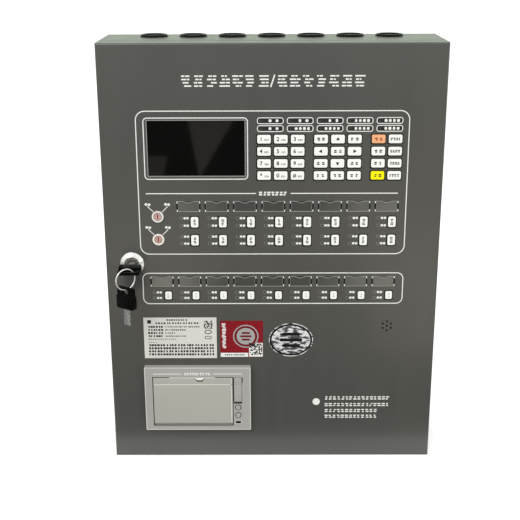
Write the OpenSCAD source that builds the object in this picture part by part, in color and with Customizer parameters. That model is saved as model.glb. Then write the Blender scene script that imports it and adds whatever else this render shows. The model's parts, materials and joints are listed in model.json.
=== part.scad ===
// Wall-mounted fire alarm control panel: back box, hinged door with its controls, lock and printer,
// and the boards, power supply and batteries inside.
// Frame: origin at the centre of the rear face, X right, Y into the wall, Z up, millimetres.

/* [Cabinet] */
// Overall width
cabinet_w = 400; // [398:1:410]
// Overall height of the sheet-metal body
cabinet_h = 520; // [518:1:530]
// Depth from the rear face to the front of the door
cabinet_d = 110; // [109:1:116]
// Sheet thickness of the box and the door
sheet = 1.2; // [1:0.1:1.3]
// Outside bend radius of the folded edges
bend_r = 1.8; // [1.4:0.1:2.2]
// Depth of the door tray
door_depth = 23.9; // [23:0.1:24.5]

/* [Door hinges] */
// Height of each hinge above and below the middle
hinge_z = 180; // [150:1:200]
// Hinge pin diameter
hinge_pin_d = 2.4; // [2:0.1:2.6]
// Radial clearance of a pin in its bore
pin_gap = 0.05; // [0.02:0.01:0.1]

/* [Wall fixings] */
// Diameter of the four wall fixing holes
fixing_d = 8; // [6:0.5:9]
// Spacing of the wall fixing holes across the width
fixing_w = 330; // [328:1:332]
// Spacing of the wall fixing holes over the height
fixing_h = 450; // [440:1:456]

/* [Cable entries] */
// Number of rubber grommets along the top
grommet_count = 7; // [3:1:7]
// Diameter of a grommet's outer rim
grommet_d = 33.5; // [30:0.5:36]
// Spacing of the grommets
grommet_pitch = 47; // [42:1:48]
// How far a grommet's rim stands above the top
grommet_rim = 2.6; // [1.5:0.1:3]

/* [Screen] */
// Width of the screen opening
screen_w = 114.8; // [108:0.2:115]
// Height of the screen opening
screen_h = 66.8; // [58:0.2:67]

/* [Keys] */
// Width of a keypad key
key_w = 15.6; // [14:0.1:16.2]
// Height of a keypad key
key_h = 9.9; // [9:0.1:10.6]
// How far keys and buttons stand proud of the door
key_proud = 1; // [0.6:0.1:1.4]
// Travel of keys and buttons
key_travel = 0.8; // [0.4:0.1:0.8]
// Width of a linkage or zone button
button_w = 8.9; // [8:0.1:9.4]

/* [Label windows] */
// Width of a label window
window_w = 27.6; // [26:0.1:28]
// Height of a label window
window_h = 12.9; // [12:0.1:13.2]
// Column spacing of the label windows
column_pitch = 33.45; // [33:0.05:33.6]

/* [Door lock] */
// Diameter of the lock's face
lock_face_d = 28.5; // [26:0.5:30]
// Diameter of the turning plug
plug_d = 12; // [11:0.5:12.5]

/* [Keys on the ring] */
// Width of a key's plastic head
head_w = 26; // [22:0.5:27]
// Mid-line radius of the split ring
ring_r = 12.6; // [12.4:0.1:12.8]
// Wire diameter of the split ring
ring_wire = 1.6; // [1.2:0.1:1.7]

/* [Printer] */
// Width of the printer's frame
printer_w = 132.5; // [130:0.5:134]
// Height of the printer's frame
printer_h = 86.5; // [86:0.5:88]
// How far the printer stands proud of the door
printer_proud = 6.5; // [6:0.1:7]
// Outside diameter of the paper roll
paper_d = 34; // [24:1:34]

/* [Batteries] */
// Width of a battery block as it stands
battery_w = 94; // [90:1:94]
// Height of a battery block as it stands
battery_h = 151; // [140:1:151]
// Thickness of a battery block
battery_t = 65; // [60:1:65]

/* [Hidden] */
$fn = 64;
eps = 1;            // how far a cutter runs past the face it cuts
slack = 0.3;        // gap between neighbours that must stay free of each other

// depths, all on the Y axis, which points into the wall
door_front = -cabinet_d;
door_inner = door_front + sheet;
door_back = door_front + door_depth;
box_front = door_back + 2.1;
rear = -sheet;

// hinge axis, inside the right-hand edge of the cabinet
hinge_x = cabinet_w / 2 - 3.6;
hinge_y = box_front - 4.5;
knuckle_r = 2.1;
leaf_h = 60;
knuckle_h = 19.6;
flange_w = 14;
hinge_flange_w = 24;

// cable entries
grommet_y = -28;
grommet_neck_d = 28;

// inner assembly
chassis_y = -16;
board_y = -26;
pillars = [[-150, -30], [0, -30], [150, -30], [-150, 190], [0, 190], [150, 190]];
board_posts = [[-140, -20], [50, -20], [-140, 160], [50, 160]];
battery_x = -32;
battery_floor = -cabinet_h / 2 + sheet + slack;
battery_front = rear - slack - battery_t;
strap_z = -180;
strap_y = battery_front - 1.5;
breaker_x = -142;
breaker_z = -90;
toggle_y = -62;

// door layout
screen_x = -88.3;
screen_z = 140;
numeric_x = -9.5;
arrow_x = 56.5;
function_x = 123;
key_rows_z = [150.8, 136.5, 122.2, 107.8];
key_pitch = 19.5;
pill_x = -2.2;
pill_pitch = 34.4;
pill_rows_z = [172.1, 163];
columns = 8;
zones = 9;
window_x = -99;
window_z = 70.4;
linkage_x = -92.1;
start_z = 51.4;
stop_z = 29;
linkage_h = 12.5;
linkage_led_z = [56.1, 47, 33.4, 24.7];
led_shift = -15.7;
zone_window_x = -133.2;
zone_window_z = -23.3;
zone_x = -126;
zone_z = -41;
zone_h = 9.9;
zone_led_z = [-37.3, -44.4];
led_d = 2.6;
board_front = -100;
board_t = 1.6;
switch_top = -103.4;
keypad_studs = [[-17, 98.5], [149, 98.5], [-17, 177], [149, 177]];
linkage_studs = [[-113.5, 22], [151.5, 58], [-113.5, 58], [151.5, 22]];
zone_studs = [[-148.5, -12.2], [150.5, -12.2], [-148.5, -48.5], [150.5, -48.5]];
display_studs = [[-149.5, 103.8], [-27.1, 103.8], [-149.5, 176.2], [-27.1, 176.2]];
buzzer_x = 141;
buzzer_z = -81.4;
switch_x = -135.7;
switch_zs = [58.4, 30.2];
lock_x = -168.5;
lock_z = -0.5;
cam_y = -82.3;

// keys: slot_y is where the ring passes through the key in the lock
slot_y = -142.5;
slot_w = 18.2;
slot_d = 9.3;
head_l = 27;
head_t = 7;
web_t = 3.4;
head_bar = 2.3;
ring_turn = 37.5;
ring_dx = -3.65;
ring_dz = -7.7;
ring_pivot_x = 1.25;
spare_turn = -33;
eye_r = 3.4;
key_tip_y = -94.5;
spare_l = 42;
spare_x = lock_x + ring_dx;
spare_y = slot_y + (ring_dx - ring_pivot_x) * tan(ring_turn);
spare_z = lock_z + ring_dz - ring_r;
spare_drop = eye_r - ring_wire / 2 - slack;

// printer, placed by the centre of its frame
printer_x = -92.85;
printer_z = -176.85;
printer_face = door_front - printer_proud;
tub_back = -68;
lid_hinge_y = printer_face + 4.2;
lid_hinge_z = -209;
lid_r = 4.2;
lid_x0 = -148.2;
lid_x1 = -49.4;
lid_top = -148;
lever_hinge_y = -111.5;
lever_hinge_z = -176;
platen_y = -107.5;
platen_z = -156;
roll_x = -99.5;
roll_y = -88;
roll_z = -190;
roll_w = 57;
printer_button_x = -42.5;
printer_button_z = [-188.7, -199.3];

// places of the repeated controls, as [x, z]
function key_columns(x0, n) = [for (i = [0 : n - 1]) x0 + key_pitch * i];
function linkage_places() = [for (i = [0 : columns - 1]) linkage_x + column_pitch * i];
function zone_places() = [for (i = [0 : zones - 1]) zone_x + column_pitch * i];
numeric_keys_at = [for (x = key_columns(numeric_x, 3), z = key_rows_z) [x, z]];
arrow_keys_at = [for (x = key_columns(arrow_x, 3), z = key_rows_z) [x, z]];
function_keys_at = [for (x = key_columns(function_x, 2), z = key_rows_z) [x, z]];
reset_at = [function_x, key_rows_z[0]];
silence_at = [function_x, key_rows_z[3]];
white_function_keys = [for (k = function_keys_at) if (k != reset_at && k != silence_at) k];
keypad_at = concat(numeric_keys_at, arrow_keys_at, function_keys_at);
leds_at = concat(
    [for (i = [0 : 4], z = pill_rows_z) [pill_x + pill_pitch * i - 11.5, z]],
    [for (x = linkage_places(), z = linkage_led_z) [x + led_shift, z]],
    [for (x = zone_places(), z = zone_led_z) [x + led_shift - 1.1, z]]
);
windows_at = concat(
    [for (i = [0 : columns - 1]) [window_x + column_pitch * i, window_z]],
    [for (i = [0 : zones - 1]) [zone_window_x + column_pitch * i, zone_window_z]]
);
buzzer_holes = concat([[0, 0]], [for (k = [0 : 5]) 5.8 * [sin(60 * k), cos(60 * k)]]);
studs = concat(keypad_studs, linkage_studs, zone_studs, display_studs);

// colours
paint = [0.36, 0.37, 0.35];
steel = [0.75, 0.75, 0.74];
chrome = [0.85, 0.85, 0.86];
black = [0.06, 0.06, 0.06];
white = [0.92, 0.92, 0.9];
board_green = [0.07, 0.3, 0.16];
printer_grey = [0.71, 0.69, 0.67];

// a block centred on (x, z), from y0 to y1
module slab(x, z, w, h, y0, y1) {
    translate([x - w / 2, y0, z - h / 2]) cube([w, y1 - y0, h]);
}

// a block given by its edges
module block(x0, x1, y0, y1, z0, z1) {
    translate([x0, y0, z0]) cube([x1 - x0, y1 - y0, z1 - z0]);
}

// a rod along Y
module rod_y(x, z, d, y0, y1) {
    translate([x, y1, z]) rotate([90, 0, 0]) cylinder(d = d, h = y1 - y0);
}

// a hexagonal prism along Y
module hex_y(x, z, d, y0, y1) {
    translate([x, y1, z]) rotate([90, 0, 0]) cylinder(d = d, h = y1 - y0, $fn = 6);
}

// a rod along X
module rod_x(y, z, d, x0, x1) {
    translate([x0, y, z]) rotate([0, 90, 0]) cylinder(d = d, h = x1 - x0);
}

// a rod along Z
module rod_z(x, y, d, z0, z1) {
    translate([x, y, z0]) cylinder(d = d, h = z1 - z0);
}

module rounded_rectangle(w, h, r) {
    square([w - 2 * r, h], center = true);
    square([w, h - 2 * r], center = true);
    for (sx = [-1, 1], sz = [-1, 1])
        translate([sx * (w / 2 - r), sz * (h / 2 - r)]) circle(r = r, $fn = 32);
}

// a block with rounded corners, seen from the front
module round_slab(x, z, w, h, r, y0, y1) {
    translate([x, y1, z]) rotate([90, 0, 0]) linear_extrude(y1 - y0) rounded_rectangle(w, h, r);
}

// a flat profile with its two corners at y = 0 rounded, seen along a folded edge
module folded_profile(w, depth, r) {
    translate([-w / 2, r]) square([w, depth - r]);
    translate([-w / 2 + r, 0]) square([w - 2 * r, r + 0.01]);
    for (s = [-1, 1]) translate([s * (w / 2 - r), r]) circle(r = r, $fn = 48);
}

// a closed block whose front edges at y0 are rounded, as folded sheet is
module folded_block(w, h, y0, y1, r) {
    intersection() {
        translate([0, y0, -h / 2]) linear_extrude(h) folded_profile(w, y1 - y0, r);
        translate([-w / 2, y0, 0]) rotate([0, 90, 0]) linear_extrude(w) folded_profile(h, y1 - y0, r);
    }
}

// ---------- back box ----------

module back_box() {
    color(paint)
    difference() {
        union() {
            difference() {
                rotate([0, 0, 180]) folded_block(cabinet_w, cabinet_h, 0, -box_front, bend_r);
                slab(0, 0, cabinet_w - 2 * sheet, cabinet_h - 2 * sheet, box_front - eps, rear);
            }
            front_flange();
            for (p = pillars) rod_y(p[0], p[1], 8, chassis_y + sheet, rear + sheet / 2);
        }
        for (sx = [-1, 1], sz = [-1, 1])
            rod_y(sx * fixing_w / 2, sz * fixing_h / 2, fixing_d, rear - eps, eps);
        for (x = grommet_places())
            rod_z(x, grommet_y, grommet_neck_d + 2 * pin_gap, cabinet_h / 2 - sheet - eps, cabinet_h / 2 + eps);
        for (p = pillars) rod_y(p[0], p[1], 3.1, chassis_y, rear - sheet);
        rod_y(-80, -105, 6.1, rear - eps, eps);
    }
}

// the inward flange round the mouth of the box, wider where the hinges sit
module front_flange() {
    difference() {
        slab(0, 0, cabinet_w - sheet, cabinet_h - sheet, box_front, box_front + sheet);
        block(-cabinet_w / 2 + flange_w, cabinet_w / 2 - hinge_flange_w, box_front - eps,
              box_front + sheet + eps, -cabinet_h / 2 + flange_w, cabinet_h / 2 - flange_w);
    }
}

// foam strip on the flange, along the top, the bottom and the lock side
module door_seal() {
    strip = 6;
    inset = 4;
    side = cabinet_w / 2 - inset;
    top = cabinet_h / 2 - inset;
    right = cabinet_w / 2 - hinge_flange_w;
    color(black)
    difference() {
        block(-side, right, box_front - 1.7, box_front, -top, top);
        block(-side + strip, right + eps, box_front - 2, box_front + eps, -top + strip, top - strip);
    }
}

function grommet_places() = [for (i = [0 : grommet_count - 1]) grommet_pitch * (i - (grommet_count - 1) / 2)];

module cable_grommets() {
    top = cabinet_h / 2;
    color(black)
    for (x = grommet_places())
        difference() {
            union() {
                rod_z(x, grommet_y, grommet_d, top, top + 1.4);
                rod_z(x, grommet_y, grommet_d - 2.4, top, top + grommet_rim);
                rod_z(x, grommet_y, grommet_neck_d, top - sheet, top);
                rod_z(x, grommet_y, grommet_d - 1, top - sheet - 2.4, top - sheet);
            }
            rod_z(x, grommet_y, grommet_d - 9, top + 1.2, top + grommet_rim + eps);
            rod_z(x, grommet_y, grommet_neck_d - 5, top - sheet - 2.4 - eps, top - 0.6);
        }
}

// ---------- hinges ----------

module hinge_box_leaves() {
    color(steel)
    for (s = [-1, 1])
        difference() {
            union() {
                rod_z(hinge_x, hinge_y, 2 * knuckle_r, s * hinge_z - leaf_h / 2, s * hinge_z + leaf_h / 2);
                block(hinge_x - 6, hinge_x, hinge_y - 0.6, hinge_y + 0.6,
                      s * hinge_z - leaf_h / 2, s * hinge_z + leaf_h / 2);
                block(hinge_x - 6, hinge_x - 4.8, hinge_y - 0.6, box_front,
                      s * hinge_z - leaf_h / 2, s * hinge_z + leaf_h / 2);
                block(hinge_x - 18, hinge_x - 4.8, box_front - 1.2, box_front,
                      s * hinge_z - leaf_h / 2, s * hinge_z + leaf_h / 2);
            }
            rod_z(hinge_x, hinge_y, hinge_pin_d + 2 * pin_gap, s * hinge_z - leaf_h, s * hinge_z + leaf_h);
            block(hinge_x - 3.2, hinge_x + 4, hinge_y - 3, hinge_y + 3,
                  s * hinge_z - knuckle_h / 2 - slack, s * hinge_z + knuckle_h / 2 + slack);
        }
}

module hinge_door_leaves() {
    inner_wall = cabinet_w / 2 - sheet;
    color(steel)
    for (s = [-1, 1])
        difference() {
            union() {
                rod_z(hinge_x, hinge_y, 2 * knuckle_r, s * hinge_z - knuckle_h / 2, s * hinge_z + knuckle_h / 2);
                block(hinge_x + 0.9, inner_wall, hinge_y - 6, hinge_y,
                      s * hinge_z - knuckle_h / 2, s * hinge_z + knuckle_h / 2);
                block(hinge_x + 0.9, inner_wall, hinge_y - 16, hinge_y - 3,
                      s * hinge_z - leaf_h / 2, s * hinge_z + leaf_h / 2);
            }
            rod_z(hinge_x, hinge_y, hinge_pin_d + 2 * pin_gap, s * hinge_z - leaf_h, s * hinge_z + leaf_h);
        }
}

module hinge_pins() {
    color(chrome)
    for (s = [-1, 1]) {
        rod_z(hinge_x, hinge_y, hinge_pin_d, s * hinge_z - leaf_h / 2, s * hinge_z + leaf_h / 2);
        rod_z(hinge_x, hinge_y, 2 * knuckle_r, s * hinge_z + leaf_h / 2, s * hinge_z + leaf_h / 2 + 1.2);
    }
}

// ---------- inside the box ----------

module chassis_plate() {
    color(steel)
    difference() {
        union() {
            block(-160, 160, chassis_y, chassis_y + sheet, -40, 200);
            block(-160, -160 + sheet, chassis_y, chassis_y + 9, -40, 200);
            block(160 - sheet, 160, chassis_y, chassis_y + 9, -40, 200);
            for (p = board_posts) rod_y(p[0], p[1], 6, board_y + board_t, chassis_y + sheet / 2);
        }
        for (p = pillars) rod_y(p[0], p[1], 4, chassis_y - eps, chassis_y + sheet + eps);
        for (p = board_posts) rod_y(p[0], p[1], 3.1, board_y, board_y + 7);
        for (x = [-120 : 30 : 120]) round_slab(x, 175, 12, 4, 1.9, chassis_y - eps, chassis_y + sheet + eps);
    }
}

module main_board() {
    color(board_green)
    difference() {
        block(-145, 55, board_y, board_y + board_t, -25, 165);
        for (p = board_posts) rod_y(p[0], p[1], 3.4, board_y - eps, board_y + board_t + eps);
    }
}

// chips, relays, capacitors, a coin cell holder and plug headers on the main board
module board_components() {
    color([0.12, 0.12, 0.13]) {
        slab(-80, 110, 24, 24, board_y - 2.4, board_y);
        slab(-30, 110, 20, 14, board_y - 3, board_y);
        slab(-30, 80, 20, 14, board_y - 3, board_y);
        rod_y(-110, 60, 22, board_y - 5, board_y);
    }
    color([0.2, 0.35, 0.6]) for (i = [0 : 5]) slab(-125 + 24 * i, 20, 16, 20, board_y - 15, board_y);
    color(black) for (z = [60, 85, 110, 135]) rod_y(30, z, 12, board_y - 18, board_y);
    color(white) for (x = [-110, -60, -10, 40]) slab(x, -12, 34, 8, board_y - 9, board_y);
}

module terminal_blocks() {
    color([0.16, 0.42, 0.2])
    for (i = [-3, -2, -1, 1, 2, 3])
        difference() {
            slab(42 * i, 187.5, 38, 13, chassis_y - 13, chassis_y);
            for (k = [-3 : 3]) rod_y(42 * i + 5.2 * k, 189, 3.2, chassis_y - 14, chassis_y - 8);
        }
}

module chassis_screws() {
    color(chrome) {
        for (p = pillars) pan_screw(p[0], p[1], chassis_y, 7, 10, 3);
        for (p = board_posts) pan_screw(p[0], p[1], board_y, 5.6, 7, 3);
    }
}

// a pan-head screw that points along +Y, its head resting on the face at y
module pan_screw(x, z, y, head_d, shank_l, shank_d) {
    difference() {
        rod_y(x, z, head_d, y - 2.2, y);
        slab(x, z, head_d - 2, 0.8, y - 2.2 - eps, y - 1.4);
        slab(x, z, 0.8, head_d - 2, y - 2.2 - eps, y - 1.4);
    }
    rod_y(x, z, shank_d, y, y + shank_l - 0.5);
}

module power_supply() {
    color(steel)
    difference() {
        block(-150, -52, -38, rear, -250, -168);
        for (x = [-140 : 8 : -62], z = [-240 : 10 : -190]) rod_y(x, z, 4, -38 - eps, -37);
        block(-149, -53, -38 - eps, -24, -182, -167);
    }
    color(board_green)
    for (i = [0 : 6]) block(-146 + 13 * i, -135 + 13 * i, -36, -24, -181, -169);
}

// two lead-acid blocks standing side by side, with their terminal tabs on top
module batteries() {
    top = battery_floor + battery_h;
    for (i = [0, 1]) {
        x0 = battery_x + i * (battery_w + slack);
        color([0.2, 0.2, 0.22]) {
            block(x0, x0 + battery_w, battery_front, rear - slack, battery_floor, top - 10);
            block(x0 + 1, x0 + battery_w - 1, battery_front + 1, rear - slack - 1, top - 10.01, top);
        }
        color(steel)
        for (s = [20, battery_w - 20]) block(x0 + s - 3.2, x0 + s + 3.2, -20.4, -19.6, top - 0.01, top + 7);
    }
}

module battery_strap() {
    x0 = battery_x - 1.7;
    x1 = battery_x + 2 * battery_w + slack + 1.7;
    color(steel)
    difference() {
        union() {
            block(x0, x1, strap_y, strap_y + sheet, strap_z - 10, strap_z + 10);
            block(x0, x0 + sheet, strap_y, rear, strap_z - 10, strap_z + 10);
            block(x1 - sheet, x1, strap_y, rear, strap_z - 10, strap_z + 10);
            block(x0 - 13, x0 + sheet, rear - sheet, rear, strap_z - 10, strap_z + 10);
            block(x1 - sheet, x1 + 13, rear - sheet, rear, strap_z - 10, strap_z + 10);
        }
        for (x = [x0 - 6, x1 + 6]) rod_y(x, strap_z, 4.5, rear - sheet - eps, rear + eps);
    }
}

// a bent lead: straight ten-sided runs that overlap a little at each bend
module lead(points, d) {
    lap = d / 4;
    for (i = [0 : len(points) - 2]) {
        a = points[i];
        run = points[i + 1] - a;
        length = norm(run);
        translate(a) rotate([0, acos(run[2] / length), atan2(run[1], run[0])])
            translate([0, 0, -lap]) cylinder(d = d, h = length + 2 * lap, $fn = 10);
    }
}

module battery_leads() {
    top = battery_floor + battery_h + 8;
    color([0.7, 0.08, 0.06])
    lead([[battery_x + 20, -20, top], [battery_x + 20, -20, -85], [battery_x + 20, -31, -65],
          [-4, -31, -45], [-4, -31, -17]], 3);
    color([0.05, 0.05, 0.05])
    lead([[battery_x + 2 * battery_w - 20, -20, top], [battery_x + 2 * battery_w - 20, -20, -80],
          [60, -31, -60], [34, -31, -45], [34, -31, -17]], 3);
    color([0.05, 0.05, 0.3])
    lead([[battery_x + battery_w - 20, -20, top + 1.5], [battery_x + battery_w - 10, -20, top + 10],
          [battery_x + battery_w + 10, -20, top + 10], [battery_x + battery_w + slack + 20, -20, top + 1.5]], 3);
}

module din_rail() {
    color(steel)
    difference() {
        union() {
            block(-165, -105, -10, -9, breaker_z - 17.5, breaker_z + 17.5);
            block(-165, -105, -10, rear, breaker_z - 12.5, breaker_z + 12.5);
        }
        block(-165 - eps, -105 + eps, -9, rear - 1, breaker_z - 11.5, breaker_z + 11.5);
        rod_y(-113, breaker_z, 4.5, rear - 3, 0);
    }
}

module mains_breaker() {
    color([0.86, 0.86, 0.84])
    difference() {
        union() {
            slab(breaker_x, breaker_z, 36, 80, toggle_y, -10.2);
            slab(breaker_x, breaker_z, 36, 45, -70, toggle_y);
        }
        slab(breaker_x, breaker_z, 16, 22, -70 - eps, -52);
        for (sx = [-1, 1], sz = [-1, 1]) rod_y(breaker_x + sx * 9, breaker_z + sz * 32, 6, toggle_y - eps, -52);
    }
}

module breaker_toggle() {
    color([0.15, 0.3, 0.6])
    union() {
        rod_x(toggle_y, breaker_z, 15, breaker_x - 7.7, breaker_x + 7.7);
        translate([breaker_x, toggle_y, breaker_z]) rotate([-25, 0, 0])
            block(-7.7, 7.7, -17, 0, -2.4, 2.4);
    }
}

module earth_stud() {
    color([0.78, 0.62, 0.25]) {
        rod_y(-80, -105, 6, -22, 0);
        difference() {
            hex_y(-80, -105, 11.5, rear - 5.2, rear);
            rod_y(-80, -105, 6, -22, 0);
        }
    }
}

// ---------- door ----------

// holes through the front sheet of the door
module door_cut(x, z, w, h) {
    slab(x, z, w, h, door_front - eps, door_inner + eps);
}

module door_panel() {
    color(paint)
    difference() {
        union() {
            difference() {
                folded_block(cabinet_w, cabinet_h, door_front, door_back, bend_r);
                slab(0, 0, cabinet_w - 2 * sheet, cabinet_h - 2 * sheet, door_inner, door_back + eps);
            }
            for (p = studs) rod_y(p[0], p[1], 5, door_inner - sheet / 2, board_front);
        }
        for (p = studs) rod_y(p[0], p[1], 3.1, board_front - 6, board_front + eps);
        door_cut(screen_x, screen_z, screen_w, screen_h);
        for (p = keypad_at) door_cut(p[0], p[1], key_w + 2 * slack, key_h + 2 * slack);
        for (x = linkage_places(), z = [start_z, stop_z]) door_cut(x, z, button_w + 2 * slack, linkage_h + 2 * slack);
        for (x = zone_places()) door_cut(x, zone_z, button_w - 1 + 2 * slack, zone_h + 2 * slack);
        for (p = windows_at) door_cut(p[0], p[1], window_w, window_h);
        for (p = leds_at) rod_y(p[0], p[1], led_d + 0.1, door_front - eps, door_inner + eps);
        for (z = switch_zs) rod_y(switch_x, z, 12, door_front - eps, door_inner + eps);
        for (p = buzzer_holes)
            rod_y(buzzer_x + p[0], buzzer_z + p[1], 2.5, door_front - eps, door_inner + eps);
        rod_y(lock_x, lock_z, 19.2, door_front - eps, door_inner + eps);
        door_cut(printer_x, printer_z, 122, 78);
    }
}

// thin frame that lines the screen opening
module display_bezel() {
    color([0.55, 0.56, 0.54])
    difference() {
        union() {
            slab(screen_x, screen_z, screen_w - 0.1, screen_h - 0.1, door_front - 0.25, door_inner);
            slab(screen_x, screen_z, screen_w + 2.6, screen_h + 2.6, door_inner, door_inner + 0.8);
        }
        slab(screen_x, screen_z, screen_w - 1.7, screen_h - 1.7, door_front - eps, door_inner + 2);
    }
}

module display_glass() {
    color([0.02, 0.02, 0.025])
    slab(screen_x, screen_z, screen_w - 1.9, screen_h - 1.9, door_front + 0.4, door_inner + 0.8);
}

module display_module() {
    color([0.1, 0.1, 0.1])
    difference() {
        slab(screen_x, screen_z, 126, 76, door_inner + 0.8, board_front + 8);
        for (p = display_studs) slab(p[0], p[1], 9, 9, door_inner, board_front);
        for (p = display_studs) rod_y(p[0], p[1], 3.4, board_front - eps, board_front + 8 + eps);
        slab(screen_x, screen_z, 108, 58, board_front + 2, board_front + 8 + eps);
    }
}

module board_with_holes(x0, x1, z0, z1, holes) {
    difference() {
        block(x0, x1, board_front, board_front + board_t, z0, z1);
        for (p = holes) rod_y(p[0], p[1], 3.4, board_front - eps, board_front + board_t + eps);
    }
}

module keypad_board() {
    color(board_green) board_with_holes(-21, 153, 94.5, 181, keypad_studs);
}

module linkage_boards() {
    color(board_green) {
        board_with_holes(-117.5, 155.5, 18, 62, linkage_studs);
        board_with_holes(-152.5, 154.5, -52.5, -8.2, zone_studs);
    }
}

module tact_switches() {
    color(black) {
        for (p = keypad_at) slab(p[0], p[1], 6, 6, switch_top, board_front);
        for (x = linkage_places(), z = [start_z, stop_z]) slab(x, z, 6, 6, switch_top, board_front);
        for (x = zone_places()) slab(x, zone_z, 6, 6, switch_top, board_front);
    }
}

module board_screws() {
    color(chrome) {
        for (p = concat(keypad_studs, linkage_studs, zone_studs))
            mirrored_screw(p[0], p[1], board_front + board_t);
        for (p = display_studs) mirrored_screw(p[0], p[1], board_front + 8);
    }
}

// a pan-head screw that points along -Y, into a stud on the door
module mirrored_screw(x, z, y) {
    difference() {
        rod_y(x, z, 5.6, y, y + 2);
        slab(x, z, 3.6, 0.8, y + 1.2, y + 2 + eps);
        slab(x, z, 0.8, 3.6, y + 1.2, y + 2 + eps);
    }
    rod_y(x, z, 3, board_front - 5.5, y);
}

module indicator_leds() {
    color([0.75, 0.78, 0.72])
    for (p = leds_at) {
        rod_y(p[0], p[1], led_d, door_front - 0.2, board_front - 2);
        rod_y(p[0], p[1], led_d + 0.8, board_front - 3, board_front);
    }
}

// clear windows with a finger notch at the top, each over a paper label
module label_windows() {
    color([0.45, 0.46, 0.45])
    for (p = windows_at)
        difference() {
            union() {
                slab(p[0], p[1], window_w - 0.1, window_h - 0.1, door_front + 0.4, door_inner);
                slab(p[0], p[1], window_w + 3, window_h + 2.4, door_inner, door_inner + 1);
            }
            round_slab(p[0], p[1] + window_h / 2, 9, 3.6, 1.7, door_front - eps, door_front + 1);
        }
}

module data_label() {
    color(white) block(-158, -68.3, door_front - 0.25, door_front, -124, -70);
}

module red_label() {
    color([0.55, 0.05, 0.07]) block(-63.9, -11.2, door_front - 0.25, door_front, -122.6, -74.4);
}

module oval_label() {
    half_w = 27.3;
    half_h = 22.1;
    color([0.75, 0.75, 0.75])
    translate([23.3, door_front, -99.8]) rotate([90, 0, 0]) linear_extrude(0.25)
        polygon([for (a = [0 : 5 : 355]) [half_w * cos(a), half_h * sin(a)]]);
}

module buzzer() {
    color(black)
    difference() {
        rod_y(buzzer_x, buzzer_z, 30, door_inner, board_front + 4);
        rod_y(buzzer_x, buzzer_z, 22, door_inner - eps, door_inner + 3);
    }
}

// ---------- keys and buttons ----------

// a push button: cap through the sheet, retaining flange behind it, and a stem towards its switch
module push_button(x, z, w, h) {
    round_slab(x, z, w, h, 1.7, door_front - key_proud, door_inner + 0.9);
    slab(x, z, w + 1.8, h + 1.8, door_inner + slack, door_inner + 1.3);
    rod_y(x, z, 4, door_inner + 1.2, switch_top - slack - key_travel);
}

module numeric_keys() {
    color(white) for (p = numeric_keys_at) push_button(p[0], p[1], key_w, key_h);
}

module command_keys() {
    color(white) for (p = concat(arrow_keys_at, white_function_keys)) push_button(p[0], p[1], key_w, key_h);
}

module reset_key() {
    color([0.93, 0.55, 0.25]) push_button(reset_at[0], reset_at[1], key_w, key_h);
}

module silence_key() {
    color([0.95, 0.82, 0.15]) push_button(silence_at[0], silence_at[1], key_w, key_h);
}

module start_buttons() {
    color(white) for (x = linkage_places()) push_button(x, start_z, button_w, linkage_h);
}

module stop_buttons() {
    color(white) for (x = linkage_places()) push_button(x, stop_z, button_w, linkage_h);
}

module zone_buttons() {
    color(white) for (x = zone_places()) push_button(x, zone_z, button_w - 1, zone_h);
}

// ---------- key switches and lock ----------

module key_switch_bodies() {
    color(chrome)
    for (z = switch_zs)
        difference() {
            union() {
                rod_y(switch_x, z, 14, door_front - 1.6, door_front);
                rod_y(switch_x, z, 11.9, door_front, -88);
                hex_y(switch_x, z, 18, door_inner, door_inner + 3);
            }
            rod_y(switch_x, z, 8 + 2 * pin_gap, door_front - 3, -88 + eps);
        }
}

module switch_rotor(z) {
    color([0.78, 0.62, 0.58])
    difference() {
        rod_y(switch_x, z, 8, door_front - 1.4, -86);
        slab(switch_x, z, 1.3, 5.4, door_front - 3, door_front + 8);
    }
}

module upper_switch_rotor() { switch_rotor(switch_zs[0]); }

module lower_switch_rotor() { switch_rotor(switch_zs[1]); }

module lock_barrel() {
    color(chrome)
    difference() {
        union() {
            rod_y(lock_x, lock_z, lock_face_d, door_front - 1.4, door_front);
            translate([lock_x, door_front - 1.4, lock_z]) rotate([90, 0, 0])
                cylinder(d1 = lock_face_d, d2 = lock_face_d - 9, h = 2.2);
            rod_y(lock_x, lock_z, 19, door_front, cam_y - 0.5);
        }
        rod_y(lock_x, lock_z, 17, door_front - 5, door_front - 2.2);
        rod_y(lock_x, lock_z, plug_d + 2 * pin_gap, door_front - 5, cam_y + eps);
    }
}

module lock_nut() {
    color(steel)
    difference() {
        hex_y(lock_x, lock_z, 28, door_inner, door_inner + 5);
        rod_y(lock_x, lock_z, 19.1, door_inner - eps, door_inner + 6);
    }
}

module lock_plug() {
    color([0.7, 0.69, 0.66])
    difference() {
        rod_y(lock_x, lock_z, plug_d, door_front - 3.2, cam_y);
        slab(lock_x, lock_z, 8.6, 2.4, door_front - 5, -94);
        rod_y(lock_x, lock_z, 4.1, cam_y - 9, cam_y + eps);
    }
}

// the cam points up when the lock is open and turns behind the box flange to lock
module lock_cam() {
    color(steel)
    difference() {
        union() {
            rod_y(lock_x, lock_z, 15, cam_y, cam_y + 2);
            slab(lock_x, lock_z + 11.5, 13, 23, cam_y, cam_y + 2);
        }
        rod_y(lock_x, lock_z, 4.1, cam_y - eps, cam_y + 3);
    }
}

module cam_screw() {
    color(steel) {
        hex_y(lock_x, lock_z, 9, cam_y + 2, cam_y + 5);
        rod_y(lock_x, lock_z, 4, cam_y - 8.5, cam_y + 2.1);
    }
}

// the steel part of a key, flat in XY, from its tip at y = 0 back to y = -length
module key_steel(length) {
    difference() {
        block(-4, 4, -length, 0, -1, 1);
        for (i = [0 : 3]) block(2.6 + 0.3 * (i % 2), 5, -6 - 5 * i, -3.5 - 5 * i, -2, 2);
    }
}

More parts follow.
